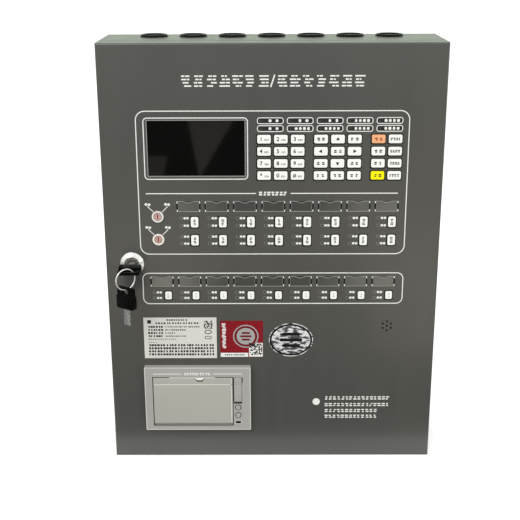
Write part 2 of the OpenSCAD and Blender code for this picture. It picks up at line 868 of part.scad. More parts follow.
// where the socket for the steel part begins, measured from the middle of the head's hole
function grip_socket(slot_depth) = head_l - slot_depth - 2 * head_bar - 4;

// the moulded head of a key, flat in XY, centred on its hole, thinner on both sides round the hole
module key_grip(slot_width, slot_depth) {
    front = slot_depth / 2 + head_bar;
    difference() {
        translate([0, (head_l - 2 * front) / 2, -head_t / 2]) linear_extrude(head_t)
            rounded_rectangle(head_w, head_l, 3);
        translate([0, 0, -head_t]) linear_extrude(2 * head_t)
            rounded_rectangle(slot_width, slot_depth, slot_depth / 2 - 0.05);
        for (s = [0, 1])
            mirror([0, 0, s]) block(-head_w, head_w, -head_l, slot_depth / 2 + 1.5, web_t / 2, head_t);
        block(-4.05, 4.05, grip_socket(slot_depth), head_l, -1.05, 1.05);
    }
}

module door_key_blade() {
    color(chrome)
    translate([lock_x, key_tip_y, lock_z]) key_steel(key_tip_y - slot_y - grip_socket(slot_d) - 0.2);
}

module door_key_head() {
    color(black) translate([lock_x, slot_y, lock_z]) key_grip(slot_w, slot_d);
}

// the ring hangs through the slot of the key in the lock
module key_ring() {
    color(chrome)
    translate([lock_x + ring_pivot_x, slot_y, lock_z]) rotate([0, 0, ring_turn])
        translate([(ring_dx - ring_pivot_x) / cos(ring_turn), 0, ring_dz]) rotate([90, 0, 0])
        rotate_extrude() translate([ring_r, 0]) circle(d = ring_wire, $fn = 24);
}

// puts a key that lies flat in XY, eye at the origin, where it hangs on the ring
module hang_spare() {
    translate([spare_x, spare_y, spare_z - spare_drop]) rotate([0, 0, spare_turn]) rotate([-90, 0, 0])
        children();
}

module spare_key_head() {
    color(black) hang_spare() key_grip(2 * eye_r, 2 * eye_r);
}

module spare_key_blade() {
    color(chrome) hang_spare() translate([0, spare_l, 0]) key_steel(spare_l - grip_socket(2 * eye_r) - 0.2);
}

// ---------- printer ----------

module printer_frame() {
    color(printer_grey)
    difference() {
        union() {
            round_slab(printer_x, printer_z, printer_w, printer_h, 1.6, printer_face, door_front);
            block(-153.3, -45.5, door_front - 0.01, tub_back, -215.4, -138.4);
            block(-46, -32.4, door_front - 0.01, -96, -215.4, -138.4);
        }
        block(lid_x0 - 0.4, lid_x1 + 0.4, printer_face - eps, door_front + eps, lid_hinge_z - lid_r - 0.4, lid_top + 0.5);
        block(-151.5, -49, door_front, tub_back - 1.8, -213.6, -140.2);
        block(-47.8, -37.6, printer_face - eps, -98, -184, lid_top + 0.5);
        block(-46.3, -34.2, door_front, -98, -213.6, -184.9);
        rod_x(lid_hinge_y, lid_hinge_z, 3 + 2 * pin_gap, lid_x0 - 3.4, lid_x1 + 3.4);
        rod_x(lever_hinge_y, lever_hinge_z, 2.4 + 2 * pin_gap, -49.1, -34.8);
        for (z = printer_button_z) rod_y(printer_button_x, z, 6.3, printer_face - eps, door_front + eps);
        round_slab(printer_button_x, -209.3, 5.3, 2, 0.9, printer_face - eps, printer_face + 0.8);
    }
    color(printer_grey) for (s = [-1, 1]) roll_guide(s);
}

// upright guide beside the paper roll, with the boss that enters its core
module roll_guide(s) {
    x = roll_x + s * (roll_w / 2 + 1.4);
    slab(x, roll_z, 2, 22, -98, tub_back - 1.7);
    rod_x(roll_y, roll_z, 11.9, min(x, x - s * 7), max(x, x - s * 7));
}

module printer_mechanism() {
    color(black)
    union() {
        block(-147, -53, -102.6, -97, -166, -140.2);
        block(-147, -120, -97, -84, -166, -140.2);
    }
    color(steel) rod_x(-90, -152, 18, -119.9, -95);
}

module printer_lid() {
    color([0.68, 0.67, 0.63])
    difference() {
        union() {
            translate([lid_x0, 0, 0]) rotate([90, 0, 90]) linear_extrude(lid_x1 - lid_x0) lid_profile();
            for (x = [lid_x0 + 2, lid_x1 - 4.6]) block(x, x + 2.6, printer_face + 2, -103.6, -163, -150.4);
            rod_x(lid_hinge_y, lid_hinge_z, 3, lid_x0 - 3, lid_x1 + 3);
        }
        translate([-90.3, printer_face + 4, lid_top]) rotate([90, 0, 0]) linear_extrude(6)
            polygon([[-8, 1], [8, 1], [3.2, -5.8], [-3.2, -5.8]]);
        block(lid_x0 - eps, lid_x1 + eps, printer_face - eps, printer_face + 0.5, -157.6, -156.9);
        rod_x(platen_y, platen_z, 3 + 2 * pin_gap, lid_x0, lid_x1);
    }
}

// the lid seen along its hinge, in (y, z)
module lid_profile() {
    translate([lid_hinge_y, lid_hinge_z]) circle(r = lid_r);
    translate([printer_face, lid_hinge_z]) square([2.6, lid_top - lid_hinge_z]);
}

module platen_roller() {
    color(black) rod_x(platen_y, platen_z, 9, lid_x0 + 5, lid_x1 - 5);
    color(steel) rod_x(platen_y, platen_z, 3, lid_x0 + 2.1, lid_x1 - 2.1);
}

module paper_roll() {
    color(white)
    difference() {
        rod_x(roll_y, roll_z, paper_d, roll_x - roll_w / 2, roll_x + roll_w / 2);
        rod_x(roll_y, roll_z, 12, roll_x - roll_w, roll_x + roll_w);
    }
}

module printer_lever() {
    color(printer_grey)
    difference() {
        union() {
            block(-47.4, -38, printer_face - 0.6, printer_face + 2.6, -180.6, -148);
            rod_x(lever_hinge_y, lever_hinge_z, 6, -47.4, -38);
            block(-45, -40.4, printer_face + 2, -108, -165, -161);
            rod_x(lever_hinge_y, lever_hinge_z, 2.4, -48.6, -35.2);
        }
        block(-48, -37, printer_face - 2, printer_face, -156.8, -156.2);
    }
}

module printer_buttons() {
    color(printer_grey)
    for (z = printer_button_z) {
        rod_y(printer_button_x, z, 6, printer_face - 0.9, -108);
        rod_y(printer_button_x, z, 7, -109.6, -108);
    }
}

back_box();
door_seal();
cable_grommets();
hinge_box_leaves();
hinge_pins();
chassis_plate();
main_board();
board_components();
terminal_blocks();
chassis_screws();
power_supply();
batteries();
battery_strap();
battery_leads();
din_rail();
mains_breaker();
breaker_toggle();
earth_stud();
door_panel();
hinge_door_leaves();
display_bezel();
display_glass();
display_module();
keypad_board();
linkage_boards();
tact_switches();
board_screws();
indicator_leds();
label_windows();
data_label();
red_label();
oval_label();
buzzer();
numeric_keys();
command_keys();
reset_key();
silence_key();
start_buttons();
stop_buttons();
zone_buttons();
key_switch_bodies();
upper_switch_rotor();
lower_switch_rotor();
lock_barrel();
lock_nut();
lock_plug();
lock_cam();
cam_screw();
door_key_blade();
door_key_head();
key_ring();
spare_key_blade();
spare_key_head();
printer_frame();
printer_mechanism();
printer_lid();
platen_roller();
paper_roll();
printer_lever();
printer_buttons();
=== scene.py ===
import json
import math
import random

import bmesh
import bpy
from mathutils import Matrix, Vector

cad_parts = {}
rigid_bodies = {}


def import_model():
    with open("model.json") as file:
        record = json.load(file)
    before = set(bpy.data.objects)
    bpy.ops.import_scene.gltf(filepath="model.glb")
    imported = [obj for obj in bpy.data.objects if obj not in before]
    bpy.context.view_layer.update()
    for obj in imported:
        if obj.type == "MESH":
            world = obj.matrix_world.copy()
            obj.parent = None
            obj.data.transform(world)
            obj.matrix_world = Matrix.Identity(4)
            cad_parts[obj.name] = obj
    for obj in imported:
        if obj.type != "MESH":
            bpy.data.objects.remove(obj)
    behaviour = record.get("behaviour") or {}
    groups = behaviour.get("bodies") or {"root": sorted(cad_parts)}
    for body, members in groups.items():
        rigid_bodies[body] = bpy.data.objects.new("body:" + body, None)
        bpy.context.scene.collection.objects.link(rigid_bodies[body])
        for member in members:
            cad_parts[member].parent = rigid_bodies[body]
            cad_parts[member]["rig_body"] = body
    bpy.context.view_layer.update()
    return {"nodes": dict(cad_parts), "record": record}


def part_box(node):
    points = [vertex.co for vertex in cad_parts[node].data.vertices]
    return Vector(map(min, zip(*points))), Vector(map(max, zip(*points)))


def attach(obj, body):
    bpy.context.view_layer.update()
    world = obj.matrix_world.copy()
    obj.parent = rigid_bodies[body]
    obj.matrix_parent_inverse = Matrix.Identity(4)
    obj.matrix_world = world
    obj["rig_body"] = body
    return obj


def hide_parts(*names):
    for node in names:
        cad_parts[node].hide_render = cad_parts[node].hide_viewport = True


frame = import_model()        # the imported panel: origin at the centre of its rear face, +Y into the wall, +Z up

nodes = frame["nodes"]
slot_of = {s["node"]: s["material_slot"] for s in frame["record"]["subparts"]}
MM = 0.001
WELD = 1e-6              # metres within which corners count as one
rng = random.Random(29)

# ---------- places, in millimetres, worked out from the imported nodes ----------


def box_mm(node):
    """The lowest and highest corner of a CAD node, in millimetres."""
    low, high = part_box(node)
    return [v / MM for v in low], [v / MM for v in high]


def islands(node):
    """Each separate solid of a CAD node as (x, z, width, height, front y), in millimetres."""
    bm = bmesh.new()
    bm.from_mesh(nodes[node].data)
    bmesh.ops.remove_doubles(bm, verts=bm.verts, dist=WELD)
    seen, found = set(), []
    for start in bm.verts:
        if start in seen:
            continue
        seen.add(start)
        stack, group = [start], []
        while stack:
            vert = stack.pop()
            group.append(vert.co / MM)
            for edge in vert.link_edges:
                other = edge.other_vert(vert)
                if other not in seen:
                    seen.add(other)
                    stack.append(other)
        xs, ys, zs = ([c[i] for c in group] for i in range(3))
        found.append(((min(xs) + max(xs)) / 2, (min(zs) + max(zs)) / 2,
                      max(xs) - min(xs), max(zs) - min(zs), min(ys)))
    bm.free()
    return sorted(found, key=lambda s: (-round(s[1]), s[0]))


DOOR_LOW = box_mm("door_panel")[0]
DOOR_Y = DOOR_LOW[1]
INK = 0.08               # thickness of printed ink
FLOOR_Z = DOOR_LOW[2]

# ---------- materials ----------


class Shader:
    """A Principled material that is built up node by node."""

    def __init__(self, name):
        self.material = bpy.data.materials.new(name)
        self.material.use_nodes = True
        self.tree = self.material.node_tree
        self.tree.nodes.clear()
        self.out = self.add("ShaderNodeOutputMaterial")
        self.bsdf = self.add("ShaderNodeBsdfPrincipled")
        self.link(self.bsdf.outputs[0], self.out.inputs[0])
        self.coords = self.add("ShaderNodeTexCoord").outputs["Object"]

    def add(self, kind):
        return self.tree.nodes.new(kind)

    def link(self, a, b):
        self.tree.links.new(a, b)

    def noise(self, scale, detail=3.0, stretch=None):
        node = self.add("ShaderNodeTexNoise")
        node.inputs["Scale"].default_value = scale
        node.inputs["Detail"].default_value = detail
        if stretch:
            mapping = self.add("ShaderNodeMapping")
            mapping.inputs["Scale"].default_value = stretch
            self.link(self.coords, mapping.inputs["Vector"])
            self.link(mapping.outputs[0], node.inputs["Vector"])
        else:
            self.link(self.coords, node.inputs["Vector"])
        return node.outputs["Fac"]

    def spread(self, value, low, high, start=0.3, stop=0.7):
        """The value's middle range, from start to stop, mapped to low to high."""
        node = self.add("ShaderNodeMapRange")
        node.inputs["From Min"].default_value = start
        node.inputs["From Max"].default_value = stop
        node.inputs["To Min"].default_value = low
        node.inputs["To Max"].default_value = high
        self.link(value, node.inputs["Value"])
        return node.outputs["Result"]

    def mix(self, factor, a, b):
        node = self.add("ShaderNodeMix")
        node.data_type = "RGBA"
        for socket, value in ((node.inputs[6], a), (node.inputs[7], b)):
            if hasattr(value, "links"):
                self.link(value, socket)
            else:
                socket.default_value = (*value, 1.0)
        self.link(factor, node.inputs[0])
        return node.outputs[2]

    def colour(self, value):
        if hasattr(value, "links"):
            self.link(value, self.bsdf.inputs["Base Color"])
        else:
            self.bsdf.inputs["Base Color"].default_value = (*value, 1.0)

    def bump(self, height, strength, distance):
        node = self.add("ShaderNodeBump")
        node.inputs["Strength"].default_value = strength
        node.inputs["Distance"].default_value = distance
        self.link(height, node.inputs["Height"])
        self.link(node.outputs[0], self.bsdf.inputs["Normal"])

    def set(self, **values):
        names = {"metallic": "Metallic", "coat": "Coat Weight",
                 "coat_rough": "Coat Roughness", "specular": "Specular IOR Level"}
        for key, value in values.items():
            self.bsdf.inputs[names[key]].default_value = value


def tint(colour, factor):
    return tuple(min(1.0, c * factor) for c in colour)


def surface(name, colour, rough, vary=0.08, grain=300, fine=2500, bump=0.1, depth=0.00005, **settings):
    """A material with broad colour drift, fine grain in its colour and roughness, and a fine bump."""
    s = Shader(name)
    drift = s.spread(s.noise(9.0, 2.0), 0.0, 1.0)
    grains = s.spread(s.noise(grain), 0.0, 1.0)
    base = s.mix(drift, tint(colour, 1 - vary), tint(colour, 1 + vary))
    s.colour(s.mix(grains, base, tint(colour, 1 - vary / 2)))
    s.link(s.spread(s.noise(grain * 2), max(0.02, rough - 0.06), rough + 0.06), s.bsdf.inputs["Roughness"])
    s.bump(s.noise(fine, 2.0), bump, depth)
    s.set(**settings)
    return s.material


PAINT = (0.068, 0.0695, 0.0635)
# colour of painted shade, round the keys and in the windows' finger notches
SHADE_COLOUR = (0.012, 0.012, 0.012)
INK_WHITE = (0.80, 0.80, 0.78)


def powder_coat(name, colour):
    """Semi-gloss powder coat: orange-peel bump, slow drift in tone, and faint scuffs."""
    s = Shader(name)
    drift = s.spread(s.noise(4.2, 1.5), 0.0, 1.0, 0.36, 0.62)
    warm = (colour[0] * 1.17, colour[1] * 1.07, colour[2] * 1.03)
    base = s.mix(drift, tint(colour, 0.88), warm)
    speck = s.spread(s.noise(2600, 2.0), 0.0, 1.0, 0.35, 0.65)
    s.colour(s.mix(speck, base, tint(colour, 0.9)))
    scuffs = s.spread(s.noise(60, 5.0, (1.0, 1.0, 0.15)), 0.30, 0.40)
    s.link(scuffs, s.bsdf.inputs["Roughness"])
    s.bump(s.noise(750, 3.0), 0.10, 0.00006)
    s.set(specular=0.55, coat=0.25, coat_rough=0.18)
    return s.material


def brushed(name, colour, rough, stretch=(1.0, 1.0, 60.0), bump=0.05, metallic=1.0):
    """Metal with fine brushing along the axes stretched least; a lower metallic stands for dull plating."""
    s = Shader(name)
    lines = s.noise(40, 4.0, stretch)
    s.colour(s.mix(s.spread(lines, 0.0, 1.0), tint(colour, 0.86), tint(colour, 1.08)))
    s.link(s.spread(lines, rough - 0.06, rough + 0.1), s.bsdf.inputs["Roughness"])
    s.bump(lines, bump, 0.00004)
    s.set(metallic=metallic)
    return s.material


def mottled_foil(name):
    """Silver security foil: pale and dark flecks in streaks."""
    s = Shader(name)
    flecks = s.spread(s.noise(330, 3.0, (0.42, 1.0, 1.3)), 0.0, 1.0, 0.45, 0.53)
    s.colour(s.mix(flecks, (0.07, 0.07, 0.075), (0.74, 0.73, 0.74)))
    s.link(s.spread(s.noise(300), 0.25, 0.5), s.bsdf.inputs["Roughness"])
    s.bump(s.noise(900), 0.06, 0.00003)
    s.set(metallic=0.1, specular=0.3)
    return s.material


def solder_mask(name):
    """Green circuit board with paler copper runs under the mask."""
    s = Shader(name)
    bricks = s.add("ShaderNodeTexBrick")
    bricks.inputs["Scale"].default_value = 95.0
    bricks.inputs["Mortar Size"].default_value = 0.012
    bricks.inputs["Color1"].default_value = (0.012, 0.085, 0.035, 1)
    bricks.inputs["Color2"].default_value = (0.016, 0.105, 0.045, 1)
    bricks.inputs["Mortar"].default_value = (0.05, 0.20, 0.08, 1)
    turn = s.add("ShaderNodeMapping")
    turn.inputs["Rotation"].default_value = (math.radians(90), 0, 0)
    s.link(s.coords, turn.inputs["Vector"])
    s.link(turn.outputs[0], bricks.inputs["Vector"])
    s.colour(s.mix(s.spread(s.noise(14), 0.0, 0.5), bricks.outputs["Color"], (0.01, 0.07, 0.03)))
    s.link(s.spread(s.noise(200), 0.22, 0.36), s.bsdf.inputs["Roughness"])
    s.bump(bricks.outputs["Fac"], 0.15, 0.0001)
    return s.material


REFLECTION_START = 0.0015    # squared distance from the panel's middle, in square metres, where panes are darkest, before the painted reflection starts
REFLECTION_FULL = 0.0145       # and where the painted reflection makes them palest


def window_film(name):
    """Clear covers over grey paper inserts, with a painted reflection that makes them paler towards both ends of
    a row, and a little uneven.
    """
    s = Shader(name)
    axes = s.add("ShaderNodeSeparateXYZ")
    s.link(s.coords, axes.inputs[0])
    square = s.add("ShaderNodeMath")
    square.operation = "MULTIPLY"
    for socket in square.inputs[:2]:
        s.link(axes.outputs["X"], socket)
    # painted reflection: panes grow paler with distance from the panel's middle
    ends = s.spread(square.outputs[0], 0.0, 1.0, REFLECTION_START, REFLECTION_FULL)
    panes = s.mix(ends, (0.064, 0.062, 0.057), (0.156, 0.152, 0.136))
    s.colour(s.mix(s.spread(s.noise(13.0, 1.0), 0.0, 0.35), panes, (0.05, 0.049, 0.045)))
    s.link(s.spread(s.noise(240), 0.14, 0.26), s.bsdf.inputs["Roughness"])
    s.bump(s.noise(60, 2.0), 0.05, 0.0001)
    s.set(specular=0.4)
    return s.material


def glass_black(name):
    s = Shader(name)
    s.colour(s.mix(s.spread(s.noise(7), 0.0, 1.0), (0.0003, 0.0004, 0.0002), (0.0010, 0.0012, 0.0007)))
    s.link(s.spread(s.noise(400), 0.02, 0.05), s.bsdf.inputs["Roughness"])
    s.bump(s.noise(30, 1.0), 0.02, 0.00001)
    s.set(specular=0.3)
    return s.material


def make_materials():
    plastic = dict(grain=500, fine=3200, bump=0.12, depth=0.00004)
    moulded = dict(grain=500, fine=2400, bump=0.15)
    return {
        "painted_sheet": powder_coat("painted_sheet", PAINT),
        "zinc_steel": brushed("zinc_steel", (0.55, 0.56, 0.56), 0.36),
        "bright_steel": brushed("bright_steel", (0.82, 0.82, 0.81), 0.26, (2.0, 2.0, 7.0), 0.01, 0.7),
        "lock_chrome": brushed("lock_chrome", (0.88, 0.87, 0.85), 0.2, (1.0, 1.0, 1.0), 0.01, 0.55),
        "lock_core": brushed("lock_core", (0.36, 0.33, 0.30), 0.26, (4.0, 1.0, 4.0), 0.02, 0.9),
        "switch_core": brushed("switch_core", (0.80, 0.52, 0.47), 0.34, (4.0, 1.0, 4.0), 0.02, 0.3),
        "brass_stud": brushed("brass_stud", (0.68, 0.47, 0.2), 0.3),
        "seal_foam": surface("seal_foam", (0.018, 0.018, 0.018), 0.9, 0.2, 900, 1600, 0.5, 0.0002),
        "grommet_rubber": surface("grommet_rubber", (0.0018, 0.003, 0.0018), 0.34, 0.2, 500, 1800, 0.12,
                                  specular=0.12),
        "platen_rubber": surface("platen_rubber", (0.02, 0.02, 0.02), 0.75, 0.15, 800, 2500, 0.3),
        "circuit_board": solder_mask("circuit_board"),
        "components": surface("components", (0.022, 0.022, 0.025), 0.5, 0.2, **plastic),
        "terminal_green": surface("terminal_green", (0.02, 0.17, 0.05), 0.42, 0.1, **plastic),
        "battery_case": surface("battery_case", (0.03, 0.03, 0.034), 0.5, 0.12, 300, 1500, 0.25, 0.0001),
        "lead_insulation": surface("lead_insulation", (0.38, 0.012, 0.01), 0.42, 0.12, **plastic),
        "breaker_plastic": surface("breaker_plastic", (0.66, 0.66, 0.63), 0.38, 0.04, **plastic),
        "toggle_blue": surface("toggle_blue", (0.012, 0.05, 0.25), 0.35, 0.1, **plastic),
        "screen_trim": surface("screen_trim", (0.30, 0.31, 0.29), 0.42, 0.06, 400, 2500, 0.06),
        "screen_glass": glass_black("screen_glass"),
        "black_plastic": surface("black_plastic", (0.012, 0.012, 0.012), 0.5, 0.15, **plastic, specular=0.3),
        "led_lens": surface("led_lens", (0.05, 0.055, 0.045), 0.2, 0.1, coat=0.5, coat_rough=0.08),
        "window_plastic": window_film("window_plastic"),
        "label_silver": surface("label_silver", (0.66, 0.645, 0.61), 0.45, 0.03, 200, 2200, 0.05),
        "label_red": surface("label_red", (0.235, 0.006, 0.013), 0.3, 0.12, 200, 2000, 0.05, specular=0.3),
        "label_oval": mottled_foil("label_oval"),
        "key_white": surface("key_white", (0.88, 0.88, 0.85), 0.42, 0.02, 400, 3000, 0.08),
        "key_orange": surface("key_orange", (0.86, 0.41, 0.20), 0.42, 0.04, 400, 3000, 0.08),
        "key_yellow": surface("key_yellow", (0.93, 0.84, 0.002), 0.42, 0.04, 400, 3000, 0.08,
                              specular=0.15),
        "key_black": surface("key_black", (0.0015, 0.0022, 0.0016), 0.38, 0.15, 400, 1600, 0.1,
                             specular=0.06),
        "printer_plastic": surface("printer_plastic", (0.375, 0.36, 0.34), 0.5, 0.05, **moulded),
        "printer_lid_plastic": surface("printer_lid_plastic", (0.40, 0.385, 0.35), 0.5, 0.05, **moulded),
        "paper": surface("paper", (0.86, 0.86, 0.84), 0.7, 0.02, 300, 1500, 0.1),
    }


materials = make_materials()
materials["ink_white"] = surface("ink_white", INK_WHITE, 0.5, 0.04, 900, 3000, 0.05)
INKS = {
    "ink_dark": (0.014, 0.014, 0.015), "ink_black": (0.006, 0.006, 0.006), "ink_red": (0.30, 0.02, 0.015),
    "ink_deep_red": (0.16, 0.004, 0.008), "ink_grey": (0.10, 0.10, 0.10), "ink_pale": (0.55, 0.55, 0.54),
    "rim_grey": (0.30, 0.31, 0.29), "seam_grey": (0.035, 0.033, 0.031), "painted_shade": SHADE_COLOUR,
    "pill_fill": (0.022, 0.023, 0.021), "relay_blue": (0.015, 0.075, 0.30),
    "socket_white": (0.66, 0.65, 0.58), "lead_black": (0.012, 0.012, 0.012),
    "chip_tan": (0.30, 0.19, 0.10), "painted_edge_highlight": (0.66, 0.65, 0.61),
}
for ink_name, ink_colour in INKS.items():
    materials[ink_name] = surface(ink_name, ink_colour, 0.55, 0.1, 900, 3000, 0.05, specular=0.2)
materials["blade_steel"] = brushed("blade_steel", (0.50, 0.51, 0.50), 0.26, (3.0, 3.0, 0.3), 0.03, 0.75)
materials["solder"] = brushed("solder", (0.70, 0.70, 0.70), 0.3, (2.0, 2.0, 2.0), 0.02, 0.8)
materials["ink_silver"] = surface("ink_silver", (0.52, 0.52, 0.52), 0.35, 0.1, 300, 2500, 0.05, metallic=0.4)

# ---------- building pieces ----------


def link_object(name, mesh):
    piece = bpy.data.objects.new(name, mesh)
    bpy.context.scene.collection.objects.link(piece)
    return piece


def place(piece, material, body, smooth=None):
    """Gives a piece its material and its body, and shades it smooth up to an angle."""
    piece.data.materials.clear()
    piece.data.materials.append(materials[material])
    if smooth is not None:
        piece.data.shade_smooth()
        piece.data.set_sharp_from_angle(angle=math.radians(smooth))
    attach(piece, body)
    return piece


def corner_outline(x, z, w, h, r, steps=6):
    """A rounded rectangle as points in (x, z), counter-clockwise seen from the front."""
    points = []
    for k, (sx, sz) in enumerate(((1, 1), (-1, 1), (-1, -1), (1, -1))):
        for i in range(steps + 1):
            a = math.radians(90 * k + 90 * i / steps)
            points.append((x + sx * (w / 2 - r) + r * math.cos(a), z + sz * (h / 2 - r) + r * math.sin(a)))
    return points


LARGE_SIGN = 8           # signs at least this wide also have dashes that are split in two
SPLIT_GAP = 0.9


class Ink:
    """Flat printed shapes at depth y, gathered into one thin closed mesh."""

    def __init__(self, y=None, thick=INK):
        self.y = DOOR_Y if y is None else y
        self.thick = thick
        self.bm = bmesh.new()

    def _loop(self, points, y):
        return [self.bm.verts.new((px * MM, y * MM, pz * MM)) for px, pz in points]

    def shape(self, points):
        front = self._loop(points, self.y - self.thick)
        back = self._loop(points, self.y)
        self.bm.faces.new(front)
        self.bm.faces.new(back[::-1])
        count = len(points)
        for i in range(count):
            j = (i + 1) % count
            self.bm.faces.new((front[j], front[i], back[i], back[j]))

    def ring(self, outer, inner):
        """A closed band between two outlines with the same number of points."""
        loops = [self._loop(p, y) for p in (outer, inner) for y in (self.y - self.thick, self.y)]
        of, ob, nf, nb = loops
        count = len(outer)
        for i in range(count):
            j = (i + 1) % count
            self.bm.faces.new((of[i], of[j], nf[j], nf[i]))
            self.bm.faces.new((ob[j], ob[i], nb[i], nb[j]))
            self.bm.faces.new((of[j], of[i], ob[i], ob[j]))
            self.bm.faces.new((nf[i], nf[j], nb[j], nb[i]))

    def bar(self, x, z, w, h):
        left, right, low, high = x - w / 2, x + w / 2, z - h / 2, z + h / 2
        self.shape([(right, high), (left, high), (left, low), (right, low)])

    def pad(self, x, z, w, h, r):
        self.shape(corner_outline(x, z, w, h, r, 4))

    def outline(self, x0, x1, z0, z1, r, line):
        x, z, w, h = (x0 + x1) / 2, (z0 + z1) / 2, x1 - x0, z1 - z0
        self.ring(corner_outline(x, z, w, h, r, 8),
                  corner_outline(x, z, w - 2 * line, h - 2 * line, max(0.1, r - line), 8))

    def disc(self, x, z, r, count=24):
        self.shape([(x + r * math.cos(2 * math.pi * i / count), z + r * math.sin(2 * math.pi * i / count))
                    for i in range(count)])

    def hoop(self, x, z, rx, rz, line, count=48):
        angles = [2 * math.pi * i / count for i in range(count)]
        self.ring([(x + rx * math.cos(a), z + rz * math.sin(a)) for a in angles],
                  [(x + (rx - line) * math.cos(a), z + (rz - line) * math.sin(a)) for a in angles])

    def stroke(self, a, b, line):
        """A straight line between two points."""
        (ax, az), (bx, bz) = a, b
        length = math.hypot(bx - ax, bz - az)
        nx, nz = -(bz - az) / length * line / 2, (bx - ax) / length * line / 2
        self.shape([(ax - nx, az - nz), (bx - nx, bz - nz), (bx + nx, bz + nz), (ax + nx, az + nz)])

    def wave(self, x, z, w, dip, line, count=16):
        """A level line whose middle dips, as above a finger notch."""
        def height(t):
            return z - dip * math.exp(-(((t - 0.5) / 0.16) ** 2))
        xs = [i / count for i in range(count + 1)]
        top = [(x - w / 2 + w * t, height(t) + line / 2) for t in xs]
        low = [(x - w / 2 + w * t, height(t) - line / 2) for t in xs]
        self.shape(low + top[::-1])

    def dashes(self, x0, x1, z, h, cell=None, rows=3, fill=0.88, gap=0.6):
        """
        Plain dash pattern that stands where a line of print would be: no letters, only short bars.

        The line runs from x0 to x1 at level z and is h high. Each sign is a stack of dashes, cell wide;
        fill is the part of the cell that it takes, and gap the space between dashes over their thickness.
        """
        cell = cell or h
        count = max(1, round((x1 - x0) / cell))
        step = (x1 - x0) / count
        thick = h / (rows + (rows - 1) * gap)
        for i in range(count):
            for k in range(rows):
                width = step * fill * rng.uniform(0.5, 1.0)
                shift = (step * fill - width) * rng.uniform(-0.5, 0.5)
                x, level = x0 + step * (i + 0.5) + shift, z + h / 2 - thick / 2 - (1 + gap) * thick * k
                if step < LARGE_SIGN or rng.random() < 0.4:
                    self.bar(x, level, width, thick)
                    continue
                left = width * rng.uniform(0.3, 0.6)
                self.bar(x - width / 2 + left / 2, level, left, thick)
                right = width - left - SPLIT_GAP
                self.bar(x + width / 2 - right / 2, level, right, thick)

    def modules(self, x0, z1, size, count, fill=0.55):
        """A square of small filled cells in no particular order, as on a scan code."""
        step = size / count
        for i in range(count):
            for j in range(count):
                if rng.random() < fill:
                    self.bar(x0 + step * (i + 0.5), z1 - step * (j + 0.5), step * 0.96, step * 0.96)

    def done(self, name, material, body="door", slot="painted_sheet"):
        bmesh.ops.recalc_face_normals(self.bm, faces=self.bm.faces)
        mesh = bpy.data.meshes.new(name)
        self.bm.to_mesh(mesh)
        self.bm.free()
        return place(link_object(name, mesh), material, body)


SOFT_SEGMENTS = 3        # faces across a rounded edge
SHARP_DEG = 35.0         # edges that turn more than this are rounded
FLAT_DEG = 1.5           # neighbouring faces that turn less than this are joined first


def soften(node, width):
    """A copy of a CAD node with its edges rounded over, which stands for the node."""
    source = nodes[node]
    bm = bmesh.new()
    bm.from_mesh(source.data)
    bmesh.ops.remove_doubles(bm, verts=bm.verts, dist=WELD)
    bmesh.ops.dissolve_limit(bm, angle_limit=math.radians(FLAT_DEG), verts=bm.verts, edges=bm.edges)
    edges = [e for e in bm.edges
             if len(e.link_faces) == 2 and e.calc_face_angle(0) > math.radians(SHARP_DEG)]
    bmesh.ops.bevel(bm, geom=edges, offset=width * MM, segments=SOFT_SEGMENTS, profile=0.6,
                    affect="EDGES", clamp_overlap=True)
    bmesh.ops.recalc_face_normals(bm, faces=bm.faces)
    mesh = bpy.data.meshes.new(node + "_finished")
    bm.to_mesh(mesh)
    bm.free()
    piece = link_object(node + "_finished", mesh)
    slot = slot_of[node]
    place(piece, slot, source["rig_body"], 40)
    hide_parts(node)
    return piece


# ---------- the CAD nodes ----------


def finish_nodes():
    for name, node in nodes.items():
        node.data.materials.clear()
        node.data.materials.append(materials[slot_of[name]])
        node.data.shade_smooth()
        node.data.set_sharp_from_angle(angle=math.radians(32))
    for name in ("door_key_blade", "spare_key_blade"):
        nodes[name].data.materials[0] = materials["blade_steel"]


finish_nodes()

SOFT_EDGES = {
    "numeric_keys": 0.45, "command_keys": 0.45, "reset_key": 0.45, "silence_key": 0.45,
    "start_buttons": 0.5, "stop_buttons": 0.5, "zone_buttons": 0.45,
    "printer_lid": 0.4, "printer_lever": 0.4, "printer_buttons": 0.4,
    "door_key_head": 0.9, "spare_key_head": 0.9, "lock_nut": 0.4, "lock_cam": 0.3,
    "cable_grommets": 0.45, "mains_breaker": 0.6, "breaker_toggle": 0.6, "batteries": 1.2,
    "terminal_blocks": 0.4, "power_supply": 0.5, "battery_strap": 0.3, "buzzer": 0.5,
}
for soft_node, soft_width in SOFT_EDGES.items():
    soften(soft_node, soft_width)

# ---------- print on the door ----------

LINE = 1.15              # width of the printed outlines
THIN_LINE = 0.9
KEY_NODES = ("numeric_keys", "command_keys", "reset_key", "silence_key",
             "start_buttons", "stop_buttons", "zone_buttons")
MAIN_PANEL = (-158.0, 158.5, 11.0, 184.0)        # left, right, bottom, top
LOWER_PANEL = (-157.0, 158.7, -52.4, -12.1)
DIVIDER_Z = 86.2
DIVIDER_BARS = ((-83.9, 129.8), (84.75, 126.1))  # middle and length, each side of its short title
PILL_W, PILL_H = 30.6, 7.7
PILL_MIDDLE = 11.5       # from a pill's LED to its middle
PILLS = 10               # the upper LEDs belong to the pills, the others to the buttons
TITLE_STARTS = (-98.2, 11.3)                     # middle of the first sign of each half
TITLE_SIGNS, TITLE_PITCH = 7, 14.73
TITLE_Z, TITLE_HEIGHT, TITLE_HALF_SIGN = 217.5, 12.8, 6.1
TITLE_SLASH = ((-1.8, 210.6), (2.8, 224.4))
ADDRESS_LEFT = 66
ADDRESS_LINES = ((-179.0, 148, 5.0), (-188.2, 148, 4.6), (-196.5, 133, 4.6), (-204.5, 133, 4.6))
ADDRESS_DOT = (55.7, -184.0, 4.6)                # x, z and radius


def led_places():
    return islands("indicator_leds")


